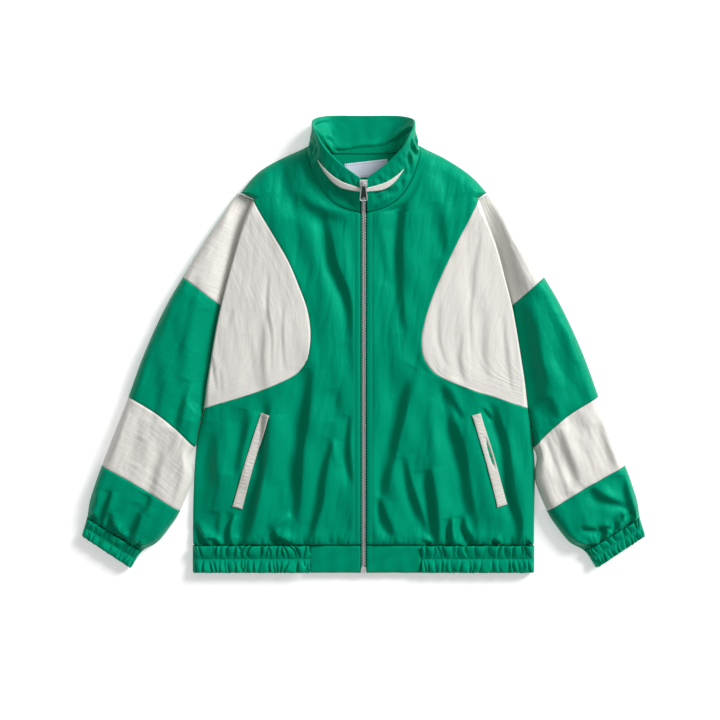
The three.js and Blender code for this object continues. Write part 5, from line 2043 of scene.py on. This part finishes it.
@dataclass
class Pull:
    """The zip's pull tab: a frame bent round its bar, with a dark plate in its middle and a window near its
    foot.
    """

    room: Workroom
    bar_half: float = 3.9
    top_half: float = 4.0
    low_half: float = 6.0
    length: float = 30.2
    wire: tuple[float, float] = (0.95, 0.74)
    inlay_top: float = 6.6
    inlay_low: float = 24.4
    inlay_thick: float = 0.35

    def outline(self) -> Array:
        """The frame's middle line in its own plane, round from the bar's left end."""
        right = [
            (self.bar_half - 1, 0.0),
            (self.bar_half - 0.2, -0.3),
            (self.top_half, -1.4),
            (self.top_half, -6.5),
            (blend(self.top_half, self.low_half, 0.5), -self.length * 0.6),
            (self.low_half, -self.length + 2.6),
            (self.low_half - 0.3, -self.length + 1.1),
            (self.low_half - 1.6, -self.length + 0.4),
        ]
        return np.array(right + [(-x, y) for x, y in reversed(right)])

    def frame(self) -> tuple[Array, list[list[int]]]:
        """The frame as a rounded closed bar.

        Returns:
            Its points in its own plane and its faces.
        """
        line = self.outline()
        ahead, behind = np.roll(line, -1, axis=0), np.roll(line, 1, axis=0)
        way = (ahead - behind) / np.linalg.norm(ahead - behind, axis=1, keepdims=True)
        side = np.column_stack([way[:, 1], -way[:, 0]])
        sides, count = 8, len(line)
        turn = 2 * np.pi * (np.arange(sides) + 0.5) / sides
        flat = line[:, None] + side[:, None] * (self.wire[0] * np.cos(turn))[None, :, None]
        height = np.broadcast_to(self.wire[1] * np.sin(turn), (count, sides))
        places = np.concatenate([flat, height[..., None]], axis=-1).reshape(-1, 3)
        faces = [
            [i * sides + k, i * sides + (k + 1) % sides, j * sides + (k + 1) % sides, j * sides + k]
            for i, j in ((i, (i + 1) % count) for i in range(count))
            for k in range(sides)
        ]
        return places, faces

    def inlay(self) -> tuple[Array, list[list[int]]]:
        """The thin plate inside the frame, down to the window.

        Returns:
            Its points in its own plane and its faces.
        """
        wide = [self.top_half, blend(self.top_half, self.low_half, 0.8)]
        ring = [
            (-wide[0], -self.inlay_top),
            (-wide[1], -self.inlay_low),
            (wide[1], -self.inlay_low),
            (wide[0], -self.inlay_top),
        ]
        places = np.array([(x, y, z) for z in (self.inlay_thick, -self.inlay_thick) for x, y in ring])
        faces = [[0, 1, 2, 3], [7, 6, 5, 4]]
        faces += [[(k + 1) % 4, k, 4 + k, 4 + (k + 1) % 4] for k in range(4)]
        return places, faces

    def build(self, hinge: Matrix) -> None:
        """Makes the tab at its rest.

        Args:
            hinge: the place and turn of its bar.
        """
        turn, move = np.array(hinge.to_3x3()), np.array(hinge.translation)
        for name, (places, faces), finish, nodes in (
            ("zip_pull_frame", self.frame(), self.room.finishes.steel, ["zip_pull"]),
            ("zip_pull_inlay", self.inlay(), self.room.finishes.inlay, []),
        ):
            piece = new_object(name, places @ turn.T + move, faces, finish)
            piece.data.shade_flat()
            self.room.place(piece, "zip_metal", nodes, PULL_BODY)


@dataclass
class NeckLabel:
    """The blank woven label inside the back of the neck."""

    room: Workroom
    x: float = 5.6
    y: float = 299.4
    width: float = 74.0
    height: float = 27.0
    turn: float = 0.115
    lift: float = 1.9
    thick: float = 0.6

    def build(self) -> None:
        """Makes the label and the stitches round it."""
        u, v = np.meshgrid(graded(self.width, 0.8, 2), graded(self.height, 0.8, 2), indexing="ij")
        across, up = (u - 0.5) * self.width, (v - 0.5) * self.height
        x = self.x + across * math.cos(self.turn) - up * math.sin(self.turn)
        y = self.y + across * math.sin(self.turn) + up * math.cos(self.turn)
        z = self.lift + self.thick + 0.25 + 0.2 * np.sin(across / 9) * np.cos(up / 8)
        panel = Panel("neck_label_cloth", np.stack([x, y, z], -1), 1)
        panel = panel.sewn(list(Rim), 0.25, 1.2)
        self.room.sew(
            panel,
            "label_cloth",
            self.room.finishes.label,
            Cut(self.width * MM, self.height * MM),
            ["back"],
            self.thick,
        )
        for rim in Rim:
            self.room.label_rows.append(panel.line_beside(rim, 3.2))


@dataclass
class Studio:
    """The floor, the light and the camera."""

    floor_size: float = 12.0
    camera_height: float = 2.75
    view_width: float = 1.224
    aim: tuple[float, float] = (-0.006, -0.027)

    def floor(self) -> None:
        """A plain pale floor just under the cloth."""
        finish = bpy.data.materials.new("floor")
        finish.use_nodes = True
        shader = finish.node_tree.nodes["Principled BSDF"]
        shader.inputs["Base Color"].default_value = (0.95, 0.95, 0.95, 1)
        shader.inputs["Emission Color"].default_value = (1, 1, 1, 1)
        shader.inputs["Emission Strength"].default_value = 0.35
        shader.inputs["Roughness"].default_value = 0.9
        shader.inputs["Specular IOR Level"].default_value = 0.1
        half = self.floor_size / 2
        mesh = bpy.data.meshes.new("floor")
        corners = [(-half, -half, 0), (half, -half, 0), (half, half, 0), (-half, half, 0)]
        mesh.from_pydata([(x, y, z - 0.0004) for x, y, z in corners], [], [(0, 1, 2, 3)])
        mesh.materials.append(finish)
        floor = bpy.data.objects.new("floor", mesh)
        bpy.context.collection.objects.link(floor)

    def lamp(self, name: str, place: Vector, size: float, power: float) -> None:
        """A square soft light that faces the jacket.

        Args:
            name: its name.
            place: where it stands.
            size: its side.
            power: its strength in watts.
        """
        light = bpy.data.lights.new(name, "AREA")
        light.size, light.energy = size, power
        lamp = bpy.data.objects.new(name, light)
        lamp.location = place
        lamp.rotation_euler = (-place).to_track_quat("-Z", "Y").to_euler()
        lamp.visible_camera = False
        bpy.context.collection.objects.link(lamp)

    def build(self) -> None:
        """Sets the scene."""
        self.floor()
        self.lamp("key_light", Vector((4.9, 3.6, 3.5)), 2.7, 600)
        self.lamp("neck_light", Vector((0.4, 1.0, 1.0)), 0.8, 2.2)
        self.lamp("fill_light", Vector((-1.6, -1.2, 2.8)), 2.4, 8)
        world = bpy.data.worlds.new("studio")
        world.use_nodes = True
        sky = world.node_tree.nodes["Background"]
        sky.inputs["Color"].default_value = (1, 1, 1, 1)
        sky.inputs["Strength"].default_value = 0.27
        bpy.context.scene.world = world
        bpy.context.scene.view_settings.view_transform = "Standard"
        lens = bpy.data.cameras.new("camera")
        lens.lens = lens.sensor_width * (self.camera_height - 0.02) / self.view_width
        camera = bpy.data.objects.new("camera", lens)
        camera.location = (*self.aim, self.camera_height)
        bpy.context.collection.objects.link(camera)
        bpy.context.scene.camera = camera


def main() -> None:
    """Builds the jacket and its scene, and logs its sizes."""
    Studio().build()
    room = Workroom(Finishes())
    body = Body(room)
    body.build()
    HemBand(room).build()
    for side in Side:
        Sleeve(room, side).build()
    collar = Collar(room)
    collar.build()
    Pockets(room, body).build()
    Zip(room, collar).build()
    NeckLabel(room).build()
    room.stitch()
    log.info("all pieces: %d triangles", room.triangles)


if __name__ == "__main__":
    main()
